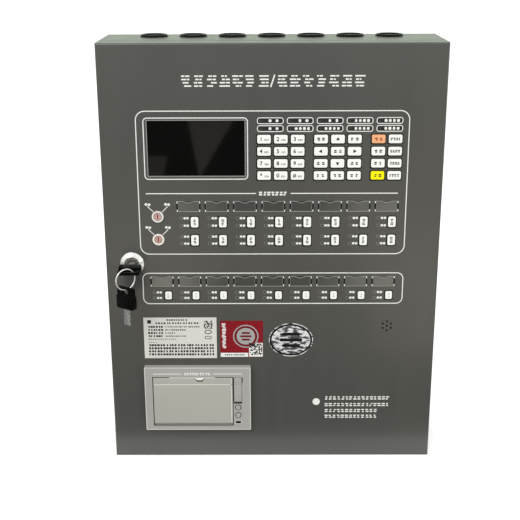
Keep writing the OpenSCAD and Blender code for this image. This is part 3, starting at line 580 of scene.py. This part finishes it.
def print_door_lines():
    ink = Ink()
    ink.outline(*MAIN_PANEL, 11, LINE)
    ink.outline(*LOWER_PANEL, 8, LINE)
    low, high = box_mm("display_bezel")
    ink.outline(low[0] - 2.4, high[0] + 1.6, low[2] - 2.4, high[2] + 1.4, 5, LINE)
    for middle, length in DIVIDER_BARS:
        ink.bar(middle, DIVIDER_Z, length, LINE)
    for x, z, *_ in led_places()[:PILLS]:
        cx = x + PILL_MIDDLE
        ink.outline(cx - PILL_W / 2, cx + PILL_W / 2, z - PILL_H / 2, z + PILL_H / 2, 2.9, THIN_LINE)
    for x, z, *_ in islands("key_switch_bodies"):    # two lines from each switch up to its two names
        ink.stroke((x - 5.0, z + 5.6), (x - 11.8, z + 12.4), THIN_LINE)
        ink.stroke((x + 5.4, z + 5.6), (x + 12.0, z + 12.2), THIN_LINE)
    ink.done("door_outlines", "ink_white")


def print_door_marks():
    ink = Ink()
    for start in TITLE_STARTS:
        for k in range(TITLE_SIGNS):
            x = start + TITLE_PITCH * k
            ink.dashes(x - TITLE_HALF_SIGN, x + TITLE_HALF_SIGN, TITLE_Z, TITLE_HEIGHT,
                       2 * TITLE_HALF_SIGN, 4, 1.0, 1.25)
    ink.stroke(*TITLE_SLASH, 1.6)
    ink.dashes(-16, 17.6, 86.0, 4.6, 4.8, 2, 0.85, 0.35)
    for x, z, *_ in led_places()[:PILLS]:
        few = round(z) == 172 and x < 60 or x < -10      # the shorter names: two signs, not four
        for k in ((0.9, 2.6) if few else range(4)):
            ink.pad(x + 6.9 + 4.75 * k, z, rng.uniform(2.7, 3.4), rng.uniform(3.1, 3.7), 1.1)
    for x, z, *_ in led_places()[PILLS:]:
        for dx in (4.0, 7.4):
            ink.pad(x + dx, z, 2.9, 2.7, 1.0)
    for x, z, *_ in islands("key_switch_bodies"):
        for side in (-1, 1):
            for dx in (-1.8, 1.8):
                ink.pad(x + side * 11.6 + dx, z + 14.6 - 0.1 * dx, 3.1, 3.0, 1.0)
    for z, right, h in ADDRESS_LINES:
        ink.dashes(ADDRESS_LEFT, right, z, h * 0.9, 5.2, 2, 0.82, 0.75)
    ink.disc(*ADDRESS_DOT)
    ink.done("door_marks", "ink_white")
    fill = Ink(DOOR_Y - 0.01, 0.03)
    for x, z, *_ in led_places()[:PILLS]:
        fill.pad(x + PILL_MIDDLE, z, PILL_W - 2.4, PILL_H - 2.4, 1.4)
    fill.done("pill_fills", "pill_fill")
    shade = Ink(DOOR_Y - 0.005, 0.02)                    # painted shadow round each key and its gap, heavier below and to the left
    for node in KEY_NODES:
        for x, z, w, h, _ in islands(node):
            w, h = w - 0.1, h - 0.1
            shade.ring(corner_outline(x - 0.15, z - 0.25, w + 1.0, h + 1.3, 2.0),
                       corner_outline(x, z, w - 1.8, h - 1.8, 1.4))
    shade.done("key_painted_shadows", "painted_shade")
    rims = Ink(DOOR_Y, 0.12)
    for x, z, *_ in led_places()[PILLS:]:
        rims.hoop(x, z, 2.2, 1.75, 0.35, 24)
    rims.done("led_rims", "rim_grey")


print_door_lines()
print_door_marks()

# ---------- label windows ----------


def dress_windows():
    """Pale rims and corners round each pane, with painted shade in the finger notches at both ends."""
    light, dark = Ink(DOOR_Y, 0.35), Ink(DOOR_Y, 0.25)
    bright = Ink(DOOR_Y, 0.36)
    for x, z, w, h, _ in islands("label_windows"):
        w, h = w - 3, h - 2.4                            # the pane inside its rim
        light.wave(x, z + h / 2 - 0.2, w - 1.0, 2.2, 0.6)
        light.bar(x, z - h / 2 + 0.4, w - 1.0, 0.7)
        for sx in (-1, 1):
            light.bar(x + sx * (w / 2 - 1.9), z, 0.35, h - 4.0)
            for sz in (-1, 1):
                bright.pad(x + sx * (w / 2 - 0.5), z + sz * (h / 2 - 1.4), 1.1, 2.3, 0.4)
            # painted shade in the finger notch at each end
            dark.pad(x + sx * (w / 2 - 0.6), z + 0.2, 2.2, 7.0, 0.4)
    light.done("window_rims", "rim_grey", slot="window_plastic")
    bright.done("window_corners", "ink_white", slot="window_plastic")
    dark.done("window_notch_shade", "painted_shade", slot="window_plastic")


dress_windows()

# ---------- locks ----------


def dress_locks():
    """Painted shade round the turning cores, in the lock's recess and in each switch's gap, with a bright lip
    inside each.
    """
    low, high = box_mm("lock_plug")
    x, z, rim = (low[0] + high[0]) / 2, (low[2] + high[2]) / 2, (high[0] - low[0]) / 2
    gap, lip = Ink(low[1] + 0.55, 0.2), Ink(low[1] + 0.5, 0.25)
    # painted shade on the recess floor between the barrel and the plug
    gap.hoop(x, z, 8.3, 8.3, 8.2 - rim)
    lip.hoop(x, z, rim + 1.2, rim + 1.2, 0.6)
    gap.done("lock_recess_shade", "ink_black", slot="lock_chrome")
    lip.done("lock_lip", "lock_chrome", slot="lock_chrome")
    for node in ("upper_switch_rotor", "lower_switch_rotor"):
        low, high = box_mm(node)
        x, z = (low[0] + high[0]) / 2, (low[2] + high[2]) / 2
        core = Ink(low[1], 0.05)
        core.hoop(x, z, 2.9, 2.9, 0.45, 32)
        core.disc(x, z, 0.9, 16)
        core.done(node + "_ring", "ink_deep_red", nodes[node]["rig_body"], slot_of[node])
        # painted shade in the gap between the switch's bezel and its core
        gap = Ink(box_mm("key_switch_bodies")[0][1], 0.05)
        gap.hoop(x, z, 4.75, 4.75, 0.7, 40)
        gap.done(node.replace("rotor", "gap"), "ink_dark", slot=slot_of["key_switch_bodies"])


dress_locks()

# ---------- marks on the keys ----------


def digits_mesh(name, items, y, height):
    """Digits and key symbols as one thin mesh; items are (text, x, z)."""
    bm = bmesh.new()
    for text, x, z in items:
        curve = bpy.data.curves.new("digit", "FONT")
        curve.body = text
        curve.size = height * MM
        curve.extrude = INK * MM / 2
        curve.offset = height * MM * 0.02
        curve.align_x = "CENTER"
        curve.align_y = "CENTER"
        source = bpy.data.objects.new("digit", curve)
        bpy.context.scene.collection.objects.link(source)
        bpy.context.view_layer.update()
        mesh = bpy.data.meshes.new_from_object(source)
        upright = Matrix.Rotation(math.radians(90), 4, "X")
        mesh.transform(Matrix.Translation((x * MM, (y - INK / 2) * MM, z * MM)) @ upright)
        bm.from_mesh(mesh)
        bpy.data.objects.remove(source)
        bpy.data.curves.remove(curve)
        bpy.data.meshes.remove(mesh)
    bmesh.ops.remove_doubles(bm, verts=bm.verts, dist=1e-7)
    mesh = bpy.data.meshes.new(name)
    bm.to_mesh(mesh)
    bm.free()
    return link_object(name, mesh)


def two_signs(ink, x, z):
    """Two signs side by side, as on a menu key."""
    for dx in (-2.8, 2.8):
        ink.dashes(x + dx - 1.7, x + dx + 1.7, z, 3.3, 3.4, 2, 1.0, 0.4)


def mark_keys():
    numeric = islands("numeric_keys")
    front = numeric[0][4]
    labels = ["1", "2", "3", "4", "5", "6", "7", "8", "9", "*", "0", "#"]
    items = [(label, x - 3.4, z) for label, (x, z, *_) in zip(labels, numeric)]
    place(digits_mesh("numeric_digits", items, front, 6.4), "ink_black", "numeric_keys")
    ink = Ink(front)
    for x, z, *_ in numeric:
        ink.dashes(x + 0.2, x + 5.6, z - 0.9, 1.9, 1.9, 2, 0.8, 0.5)
    ink.done("numeric_small_marks", "ink_dark", "numeric_keys", "key_white")
    command = islands("command_keys")
    columns = sorted({round(x, 1) for x, *_ in command})
    rows = sorted({round(z, 1) for _, z, *_ in command}, reverse=True)
    arrows = {(1, 0): 90, (0, 1): 180, (2, 1): 0, (1, 2): -90}   # (column, row): direction in degrees
    ink, arrow = Ink(front), Ink(front)
    for x, z, *_ in command:
        key = (min(range(len(columns)), key=lambda i: abs(columns[i] - x)),
               min(range(len(rows)), key=lambda i: abs(rows[i] - z)))
        if key in arrows:
            a = math.radians(arrows[key])
            arrow.shape([(x + 2.5 * math.cos(a + t), z + 2.5 * math.sin(a + t))
                         for t in (0, 2 * math.pi / 3, 4 * math.pi / 3)])
        elif key[0] == 4:
            ink.dashes(x - 6.0, x + 6.0, z, 3.0, 3.0, 2, 0.85, 0.4)
        else:
            two_signs(ink, x, z)
    ink.done("command_marks", "ink_dark", "command_keys", "key_white")
    arrow.done("command_arrows", "ink_black", "command_keys", "key_white")
    for node, material in (("reset_key", "ink_red"), ("silence_key", "ink_dark")):
        ink = Ink(front)
        for x, z, *_ in islands(node):
            two_signs(ink, x, z)
        ink.done(node + "_marks", material, node, slot_of[node])
    for node in ("start_buttons", "stop_buttons"):
        ink = Ink(front)
        for x, z, *_ in islands(node):
            for dz in (-2.1, 2.1):
                ink.dashes(x - 1.8, x + 1.8, z + dz, 3.0, 3.6, 2, 1.0, 0.4)
        ink.done(node + "_marks", "ink_grey", node, "key_white")
    ink = Ink(front)
    for x, z, *_ in islands("zone_buttons"):
        for dz in (-1.5, 1.5):
            ink.dashes(x - 1.3, x + 1.3, z + dz, 2.0, 2.6, 2, 1.0, 0.4)
    ink.done("zone_marks", "ink_pale", "zone_buttons", "key_white")


mark_keys()

# ---------- stickers ----------


STICKER_INK = 0.04       # thickness of the first layer of ink; a second one lies on it
OVER_INK = 0.03
DATA_PITCH = 4.1         # from line to line
DATA_FIELDS = (69, 52, 39, 53)                   # right ends of the lines that have a bold name
DATA_NOTES = (40, 16)                            # right ends of the two fine lines below them


def dress_data_label():
    low, high = box_mm("data_label")
    x0, x1, z1 = low[0], high[0], high[2]
    ink = Ink(low[1], STICKER_INK)
    ink.dashes(x0 + 28, x0 + 54, z1 - 3.2, 1.9, 3.0, 1, 0.8)
    ink.dashes(x0 + 14, x0 + 68, z1 - 7.4, 2.0, 3.4, 1, 0.8)
    level = z1 - 12.2
    for k, end in enumerate(DATA_FIELDS):
        ink.dashes(x0 + 5, x0 + 24, level - DATA_PITCH * k, 2.4, 3.4, 1, 0.85)
        ink.dashes(x0 + 26, x0 + end, level - DATA_PITCH * k, 1.5, 2.5, 1, 0.78)
    for k, end in enumerate(DATA_NOTES, len(DATA_FIELDS)):
        ink.dashes(x0 + 5, x0 + end, level - DATA_PITCH * k, 1.0, 2.5, 1, 0.78)
    for k in range(4):
        ink.dashes(x0 + 5, x1 - 3, z1 - 36.6 - DATA_PITCH * k, 2.6, 3.6, 1, 0.86)
    ink.pad(x0 + 7, z1 - 5.6, 4.6, 4.6, 0.6)
    ink.modules(x1 - 15.6, z1 - 4.2, 10.6, 9, 0.62)
    ink.hoop(x1 - 10.5, z1 - 19, 4.4, 2.9, 1.0)
    ink.outline(x1 - 14.5, x1 - 6.5, z1 - 28.6, z1 - 24.4, 1.2, 0.8)
    ink.done("data_label_marks", "ink_dark", slot="label_silver")


def dress_red_label():
    """A round seal of silver rings and red bars, a column of signs, a white strip and a scan code."""
    low, high = box_mm("red_label")
    y = low[1]
    cx, cz = low[0] + 31.5, high[2] - 20.5
    silver = Ink(y, STICKER_INK)
    silver.hoop(cx, cz, 15.7, 15.2, 1.5)
    silver.disc(cx, cz, 11.3, 40)
    silver.done("red_label_ring", "ink_silver", slot="label_red")
    white = Ink(y, STICKER_INK)
    white.bar(low[0] + 17.2, low[2] + 2.9, 34.0, 5.4)
    white.pad(high[0] - 8.8, low[2] + 9.6, 17.0, 18.4, 0.4)
    for k in range(9):
        white.dashes(low[0] + 1.8, low[0] + 7.4, high[2] - 4.8 - 3.75 * k, 3.0, 5.6, 2, 0.95, 0.4)
    white.done("red_label_white", "ink_white", slot="label_red")
    dark = Ink(y - STICKER_INK, OVER_INK)
    dark.modules(high[0] - 16.4, low[2] + 17.9, 15.4, 11, 0.52)
    dark.dashes(low[0] + 5, low[0] + 31, low[2] + 2.9, 1.6, 2.4, 1, 0.8)
    dark.done("red_label_dark", "ink_dark", slot="label_red")
    red = Ink(y - STICKER_INK, OVER_INK)
    red.hoop(cx, cz, 14.0, 13.5, 2.5)
    for dz, width in ((4.4, 10.0), (0.0, 14.0), (-4.4, 10.0)):
        red.pad(cx, cz + dz, width, 2.5, 0.8)
    red.done("red_label_seal_bars", "ink_deep_red", slot="label_red")


def dress_oval_label():
    low, high = box_mm("oval_label")
    cx, cz = (low[0] + high[0]) / 2, (low[2] + high[2]) / 2
    rx, rz = (high[0] - low[0]) / 2, (high[2] - low[2]) / 2
    ring = Ink(low[1], STICKER_INK)
    ring.hoop(cx, cz, rx - 1.1, rz - 1.1, 2.3, 64)
    for dz in (-7.6, 0, 7.6):
        ring.pad(cx, cz + dz, 28.0 - abs(dz) * 0.8, 4.2, 1.8)
    ring.done("oval_label_marks", "ink_black", slot="label_oval")


dress_data_label()
dress_red_label()
dress_oval_label()

# ---------- printer ----------


PIVOT = 3.0              # the lid's pivot pins stand out this far on both sides
PRINTER_BARS = ((-130.7, 34.6), (-55.4, 35.4))   # middle and length, each side of the printer's name
PRINTER_NAME = (-110, -76.7)                     # its left and right end
NOTCH_TOP, NOTCH_LOW = -147.9, -151.6            # the paper that shows in the lid's finger notch
PAPER_W = 57.0


def dress_printer():
    low, high = box_mm("printer_frame")
    lid_low, lid_high = box_mm("printer_lid")
    lid_low[0] += PIVOT
    lid_high[0] -= PIVOT
    face = low[1]
    bars = Ink(face, 0.06)
    top = high[2] - 9.2
    for middle, length in PRINTER_BARS:
        bars.bar(middle, top, length, THIN_LINE)
    bars.dashes(*PRINTER_NAME, top, 3.2, 3.2, 2)
    bars.done("printer_bars", "ink_white", slot="printer_plastic")
    lid_x, lid_z = (lid_low[0] + lid_high[0]) / 2, (lid_low[2] + lid_high[2]) / 2
    lid_w, lid_h = lid_high[0] - lid_low[0], lid_high[2] - lid_low[2]
    seams, edges, dark = Ink(face, 0.03), Ink(face, 0.04), Ink(face, 0.06)
    seams.ring(corner_outline(lid_x, lid_z, lid_w + 2.2, lid_h + 2.2, 0.9),
               corner_outline(lid_x, lid_z, lid_w + 0.7, lid_h + 0.7, 0.3))
    for x, z, *_ in islands("printer_buttons"):
        seams.hoop(x, z, 4.0, 4.0, 0.8, 32)
    seams.bar(-47.9, -164.4, 0.8, 32.6)          # left of the latch lever
    seams.done("printer_seams", "seam_grey", slot="printer_plastic")
    # painted highlights: pale bands along the frame's edges and round the lamp slot, and a brighter bar along the
    # lit top edge
    edges.outline(low[0] + 0.3, high[0] - 0.3, low[2] + 0.3, high[2] - 0.3, 1.3, 0.8)
    edges.outline(-46.6, -38.4, -211.5, -207.1, 0.6, 0.5)        # round the lamp slot
    edges.bar((low[0] + high[0]) / 2, high[2] - 1.3, high[0] - low[0] - 3.0, 1.2)
    edges.done("printer_edge_highlights", "painted_edge_highlight", slot="printer_plastic")
    dark.bar(-42.7, -181.1, 10.2, 1.5)           # painted shadow under the lever and beside its top, and the dark lamp slot
    dark.bar(-37.2, -151.4, 1.1, 6.6)
    dark.pad(-42.5, -209.3, 6.4, 3.2, 0.4)
    dark.done("printer_shadows_and_lamp_slot", "ink_black", slot="printer_plastic")
    # painted highlights below the lid's fold line and along its right edge
    lid_glints = Ink(lid_low[1], 0.05)
    lid_glints.bar(lid_x, -157.2, lid_w - 1.2, 1.1)
    lid_glints.bar(lid_high[0] - 1.3, lid_z + 1.0, 1.0, lid_h - 4.0)
    lid_glints.done("printer_lid_highlights", "painted_edge_highlight", "printer_lid", "printer_lid_plastic")
    paper = Ink(lid_low[1] + 1.0, 0.3)
    paper.shape([(lid_x + 16.1, NOTCH_TOP), (lid_x + 0.9, NOTCH_TOP),
                 (lid_x + 5.9, NOTCH_LOW), (lid_x + 11.1, NOTCH_LOW)])
    paper.done("paper_end", "paper", "printer_lid", "printer_lid_plastic")
    edge = Ink(lid_low[1] + 0.1, 0.3)
    edge.bar(-99.5, lid_high[2] + 0.2, PAPER_W, 0.7)
    edge.done("paper_edge", "paper", "printer_lid", "printer_lid_plastic")


dress_printer()

# ---------- inside the cabinet ----------


def paint_parts(piece, rules):
    """Gives parts of one mesh other materials; a rule is a material, a low and a high corner, in mm."""
    mesh = piece.data
    for material, low, high in rules:
        mesh.materials.append(materials[material])
        index = len(mesh.materials) - 1
        for polygon in mesh.polygons:
            c = polygon.center / MM
            if all(low[i] <= c[i] <= high[i] for i in range(3)):
                polygon.material_index = index


TALL = 12                # parts that stand out further than this are relays and tall cans
RAISED = 4               # and further than this coin cells
CHIP_PINS, SOCKET_PINS = 1.6, 2.6                # from pin to pin


def dress_main_board():
    board_low, board_high = box_mm("main_board")
    front = board_low[1]
    parts = islands("board_components")
    rules, pins, print_ink = [], Ink(front, 0.35), Ink(front, 0.04)
    for x, z, w, h, y in parts:
        low, high = (x - w / 2 - 0.1, y - 0.1, z - h / 2 - 0.1), (x + w / 2 + 0.1, front, z + h / 2 + 0.1)
        if h == max(w, h) and w > 15 and y < front - TALL:
            rules.append(("relay_blue", low, high))
        elif w > 30:
            rules.append(("socket_white", low, high))
            for k in range(int(w / SOCKET_PINS)):
                pins.bar(x - w / 2 + 1.9 + SOCKET_PINS * k, z - h / 2 - 1.3, 0.9, 1.6)
        elif y < front - TALL:                   # a can's bright lid
            rules.append(("solder", low, (high[0], y + 0.1, high[2])))
        elif y < front - RAISED:
            rules.append(("solder", low, high))
        else:
            for k in range(int(w / CHIP_PINS) - 1):
                for side in (-1, 1):
                    pins.bar(x - w / 2 + CHIP_PINS * (k + 1), z + side * (h / 2 + 0.8), 0.6, 1.5)
        print_ink.outline(x - w / 2 - 2.6, x + w / 2 + 2.6, z - h / 2 - 2.6, z + h / 2 + 2.6, 0.5, 0.35)
        print_ink.dashes(x - 3, x + 3, z + h / 2 + 4.2, 1.3, 1.5, 1)
    paint_parts(nodes["board_components"], rules)
    pins.done("board_pins", "solder", "cabinet", "circuit_board")
    print_ink.done("board_print", "ink_white", "cabinet", "circuit_board")
    scatter("board_small_parts", board_low, board_high, front, -1, parts, "cabinet", 150)


def scatter(name, low, high, face, side, taken, body, count):
    """Small chips and resistors on a board's face, clear of its larger parts; side -1 faces the front."""
    inks = {"chip_tan": None, "ink_black": None, "solder": None}
    for material in inks:
        inks[material] = Ink(face + (0.8 if side > 0 else 0), 0.8)
    for _ in range(count):
        x, z = rng.uniform(low[0] + 7, high[0] - 7), rng.uniform(low[2] + 7, high[2] - 7)
        if any(abs(x - px) < w / 2 + 5 and abs(z - pz) < h / 2 + 5 for px, pz, w, h, _ in taken):
            continue
        material = rng.choice(["chip_tan", "ink_black", "ink_black"])
        size = rng.choice([(2.2, 1.2), (1.2, 2.2), (3.4, 1.8)])
        inks[material].bar(x, z, *size)
        if size[0] > size[1]:
            inks["solder"].bar(x - size[0] / 2 - 0.3, z, 0.5, size[1])
            inks["solder"].bar(x + size[0] / 2 + 0.3, z, 0.5, size[1])
    for material, ink in inks.items():
        ink.done(name + "_" + material, material, body, "circuit_board")


RED_LEAD_END = 30        # the leads right of this are black
TAB_Y, TAB_HEIGHT = -20, 6.5                     # the batteries' terminal tabs


def dress_cabinet():
    dress_main_board()
    screws = islands("board_screws")
    for node in ("keypad_board", "linkage_boards"):
        back = box_mm(node)[1][1]
        for k, (x, z, w, h, _) in enumerate(islands(node)):
            scatter(f"{node}_{k}_parts", (x - w / 2, 0, z - h / 2), (x + w / 2, 0, z + h / 2),
                    back, 1, screws, "door", 80)
    low, high = box_mm("battery_leads")
    paint_parts(nodes["battery_leads"], [
        ("lead_black", (RED_LEAD_END, low[1] - 1, low[2] - 1), (high[0] + 1, high[1] + 1, high[2] + 1))])
    low, high = box_mm("batteries")
    paint_parts(bpy.data.objects["batteries_finished"], [
        ("solder", (low[0], TAB_Y - 1, high[2] - TAB_HEIGHT), (high[0], TAB_Y + 1, high[2] + 1))])
    face = low[1]
    label, marks = Ink(face, 0.05), Ink(face - 0.05, 0.03)
    for side in (-1, 1):
        x = (low[0] + high[0]) / 2 + side * (high[0] - low[0]) / 4
        label.pad(x, low[2] + 68, 56, 18, 1.0)
        marks.dashes(x - 24, x + 8, low[2] + 71.5, 4.4, 4.6, 2)
        marks.dashes(x - 24, x + 24, low[2] + 64.5, 2.0, 2.3, 1)
    label.done("battery_labels", "ink_white", "cabinet", "battery_case")
    marks.done("battery_marks", "ink_dark", "cabinet", "battery_case")
    low, high = box_mm("mains_breaker")
    x, z = (low[0] + high[0]) / 2, (low[2] + high[2]) / 2
    marks = Ink(low[1], 0.05)
    marks.dashes(x - 13, x + 13, z + 17.5, 2.6, 2.6, 1)
    marks.dashes(x - 13, x + 4, z - 17.5, 2.6, 2.6, 1)
    marks.done("breaker_marks", "ink_dark", "cabinet", "breaker_plastic")


dress_cabinet()

# ---------- camera, light and floor ----------

SENSOR = 36.0            # millimetres
FOCAL_LENGTH = 68.3
SHIFT_UP = 0.0085
CAMERA_PLACE = (-0.0101, -1.2386, 0.3696)
PITCH, YAW, ROLL = (math.radians(a) for a in (18.21, 0.228, 0.188))


def make_camera():
    data = bpy.data.cameras.new("camera")
    data.lens = FOCAL_LENGTH
    data.sensor_width = SENSOR
    data.shift_y = SHIFT_UP
    data.clip_start = 0.01
    camera = bpy.data.objects.new("camera", data)
    bpy.context.scene.collection.objects.link(camera)
    right = Vector((math.cos(YAW), math.sin(YAW), 0))
    ahead = Vector((-math.sin(YAW), math.cos(YAW), 0))
    forward = ahead * math.cos(PITCH) + Vector((0, 0, -math.sin(PITCH)))
    up = ahead * math.sin(PITCH) + Vector((0, 0, math.cos(PITCH)))
    right, up = math.cos(ROLL) * right - math.sin(ROLL) * up, math.sin(ROLL) * right + math.cos(ROLL) * up
    turn = Matrix((right, up, -forward)).transposed().to_4x4()
    camera.matrix_world = Matrix.Translation(CAMERA_PLACE) @ turn
    bpy.context.scene.camera = camera


def area_light(name, place_m, target_m, size, watts, colour=(1, 1, 1)):
    data = bpy.data.lights.new(name, "AREA")
    data.shape = "RECTANGLE"
    data.size, data.size_y = size
    data.energy = watts
    data.color = colour
    light = bpy.data.objects.new(name, data)
    bpy.context.scene.collection.objects.link(light)
    direction = Vector(target_m) - Vector(place_m)
    light.matrix_world = Matrix.Translation(place_m) @ direction.to_track_quat("-Z", "Y").to_matrix().to_4x4()


STUDIO_STRENGTH = 1.03
STUDIO_COLOUR = (0.99, 1.0, 0.97, 1)
BEHIND_COLOUR = (0.74, 0.86, 0.70, 1)
BEHIND = (0.8, 0.95)     # how far backwards a direction points where this wall starts and is full
HORIZON = 0.04           # half the height of the soft step at the horizon
BELOW_STRENGTH = 0.5     # the lower half of the world against the upper half


def make_world():
    """
    A bright even studio with a greener wall behind, which the top of the cabinet mirrors.

    The camera itself sees plain white.
    """
    world = bpy.data.worlds.new("studio")
    world.use_nodes = True
    tree = world.node_tree
    tree.nodes.clear()
    out = tree.nodes.new("ShaderNodeOutputWorld")
    background = tree.nodes.new("ShaderNodeBackground")
    background.inputs["Strength"].default_value = STUDIO_STRENGTH
    split = tree.nodes.new("ShaderNodeSeparateXYZ")
    tree.links.new(tree.nodes.new("ShaderNodeTexCoord").outputs["Generated"], split.inputs[0])
    behind = tree.nodes.new("ShaderNodeMapRange")
    behind.inputs["From Min"].default_value, behind.inputs["From Max"].default_value = BEHIND
    tree.links.new(split.outputs["Y"], behind.inputs["Value"])
    mix = tree.nodes.new("ShaderNodeMix")
    mix.data_type = "RGBA"
    mix.inputs[6].default_value = STUDIO_COLOUR
    mix.inputs[7].default_value = BEHIND_COLOUR
    tree.links.new(behind.outputs["Result"], mix.inputs[0])
    below = tree.nodes.new("ShaderNodeMapRange")
    below.inputs["From Min"].default_value = -HORIZON
    below.inputs["From Max"].default_value = HORIZON
    below.inputs["To Min"].default_value = BELOW_STRENGTH
    tree.links.new(split.outputs["Z"], below.inputs["Value"])
    dim = tree.nodes.new("ShaderNodeVectorMath")
    dim.operation = "SCALE"
    tree.links.new(mix.outputs[2], dim.inputs[0])
    tree.links.new(below.outputs["Result"], dim.inputs["Scale"])
    tree.links.new(dim.outputs[0], background.inputs["Color"])
    plain = tree.nodes.new("ShaderNodeBackground")
    plain.inputs["Color"].default_value = (1, 1, 1, 1)
    chooser = tree.nodes.new("ShaderNodeMixShader")
    tree.links.new(tree.nodes.new("ShaderNodeLightPath").outputs["Is Camera Ray"], chooser.inputs[0])
    tree.links.new(background.outputs[0], chooser.inputs[1])
    tree.links.new(plain.outputs[0], chooser.inputs[2])
    tree.links.new(chooser.outputs[0], out.inputs[0])
    return world


GLOWS = (                # strength and corners (x, y) in metres of each glow that lies on the room card
    (1.3, ((-0.50, -1.30), (-0.16, -1.30), (-0.14, -0.62), (-0.40, -0.62))),
    (1.3, ((0.20, -1.15), (0.52, -1.15), (0.42, -0.45), (0.17, -0.45))),
    (0.75, ((-0.29, -2.60), (-0.12, -2.60), (-0.188, -1.66))),
    (0.55, ((-0.375, -1.95), (-0.305, -1.95), (-0.285, -1.60), (-0.345, -1.60))),
)


def flat_card(name, corners, lift, colour, strength):
    """A level, glowing card that only shows as a reflection in glossy surfaces."""
    bm = bmesh.new()
    bm.faces.new([bm.verts.new((x, y, 0)) for x, y in corners])
    mesh = bpy.data.meshes.new(name)
    bm.to_mesh(mesh)
    bm.free()
    card = link_object(name, mesh)
    card.location = (0, 0, FLOOR_Z * MM + lift)
    for ray in ("camera", "diffuse", "shadow", "transmission"):
        setattr(card, "visible_" + ray, False)
    s = Shader(name)
    s.colour((0.0, 0.0, 0.0))
    s.bsdf.inputs["Emission Color"].default_value = (*colour, 1)
    s.bsdf.inputs["Emission Strength"].default_value = strength
    mesh.materials.append(s.material)


ROOM = ((-3, -6), (3, -6), (3, -0.16), (-3, -0.16))
ROOM_COLOUR, ROOM_STRENGTH = (1.0, 0.98, 0.95), 0.02
GLOW_COLOUR = (1.0, 0.88, 0.77)


def make_room():
    """The dark room in front of the panel, with a few warm glows, as mirrored in its paint and glass."""
    flat_card("room_card", ROOM, 0.0005, ROOM_COLOUR, ROOM_STRENGTH)
    for k, (strength, corners) in enumerate(GLOWS):
        flat_card(f"room_glow_{k}", corners, 0.001 + 0.0003 * k, GLOW_COLOUR, strength)


FLOOR_GLOW = 0.28        # keeps the floor near white round the contact shadow


def make_studio():
    scene = bpy.context.scene
    scene.view_settings.view_transform = "Standard"
    scene.world = make_world()
    area_light("key_light", (-0.9, -1.6, 1.5), (0, 0, 0.05), (1.2, 1.2), 18.5)
    area_light("fill_light", (1.3, -1.2, 0.6), (0, 0, 0), (1.0, 1.4), 7.5, (1.0, 0.98, 0.95))
    bm = bmesh.new()
    bmesh.ops.create_grid(bm, x_segments=1, y_segments=1, size=12)
    mesh = bpy.data.meshes.new("floor")
    bm.to_mesh(mesh)
    bm.free()
    floor = link_object("floor", mesh)
    floor.location = (0, 0, FLOOR_Z * MM)
    floor.visible_diffuse = False        # the world's lower half stands for what the floor throws back
    pale = surface("floor", (0.93, 0.93, 0.93), 0.7, 0.005, 3, 30, 0.01)
    bsdf = next(n for n in pale.node_tree.nodes if n.type == "BSDF_PRINCIPLED")
    bsdf.inputs["Emission Color"].default_value = (1, 1, 1, 1)
    bsdf.inputs["Emission Strength"].default_value = FLOOR_GLOW
    mesh.materials.append(pale)
    make_room()


make_camera()
make_studio()
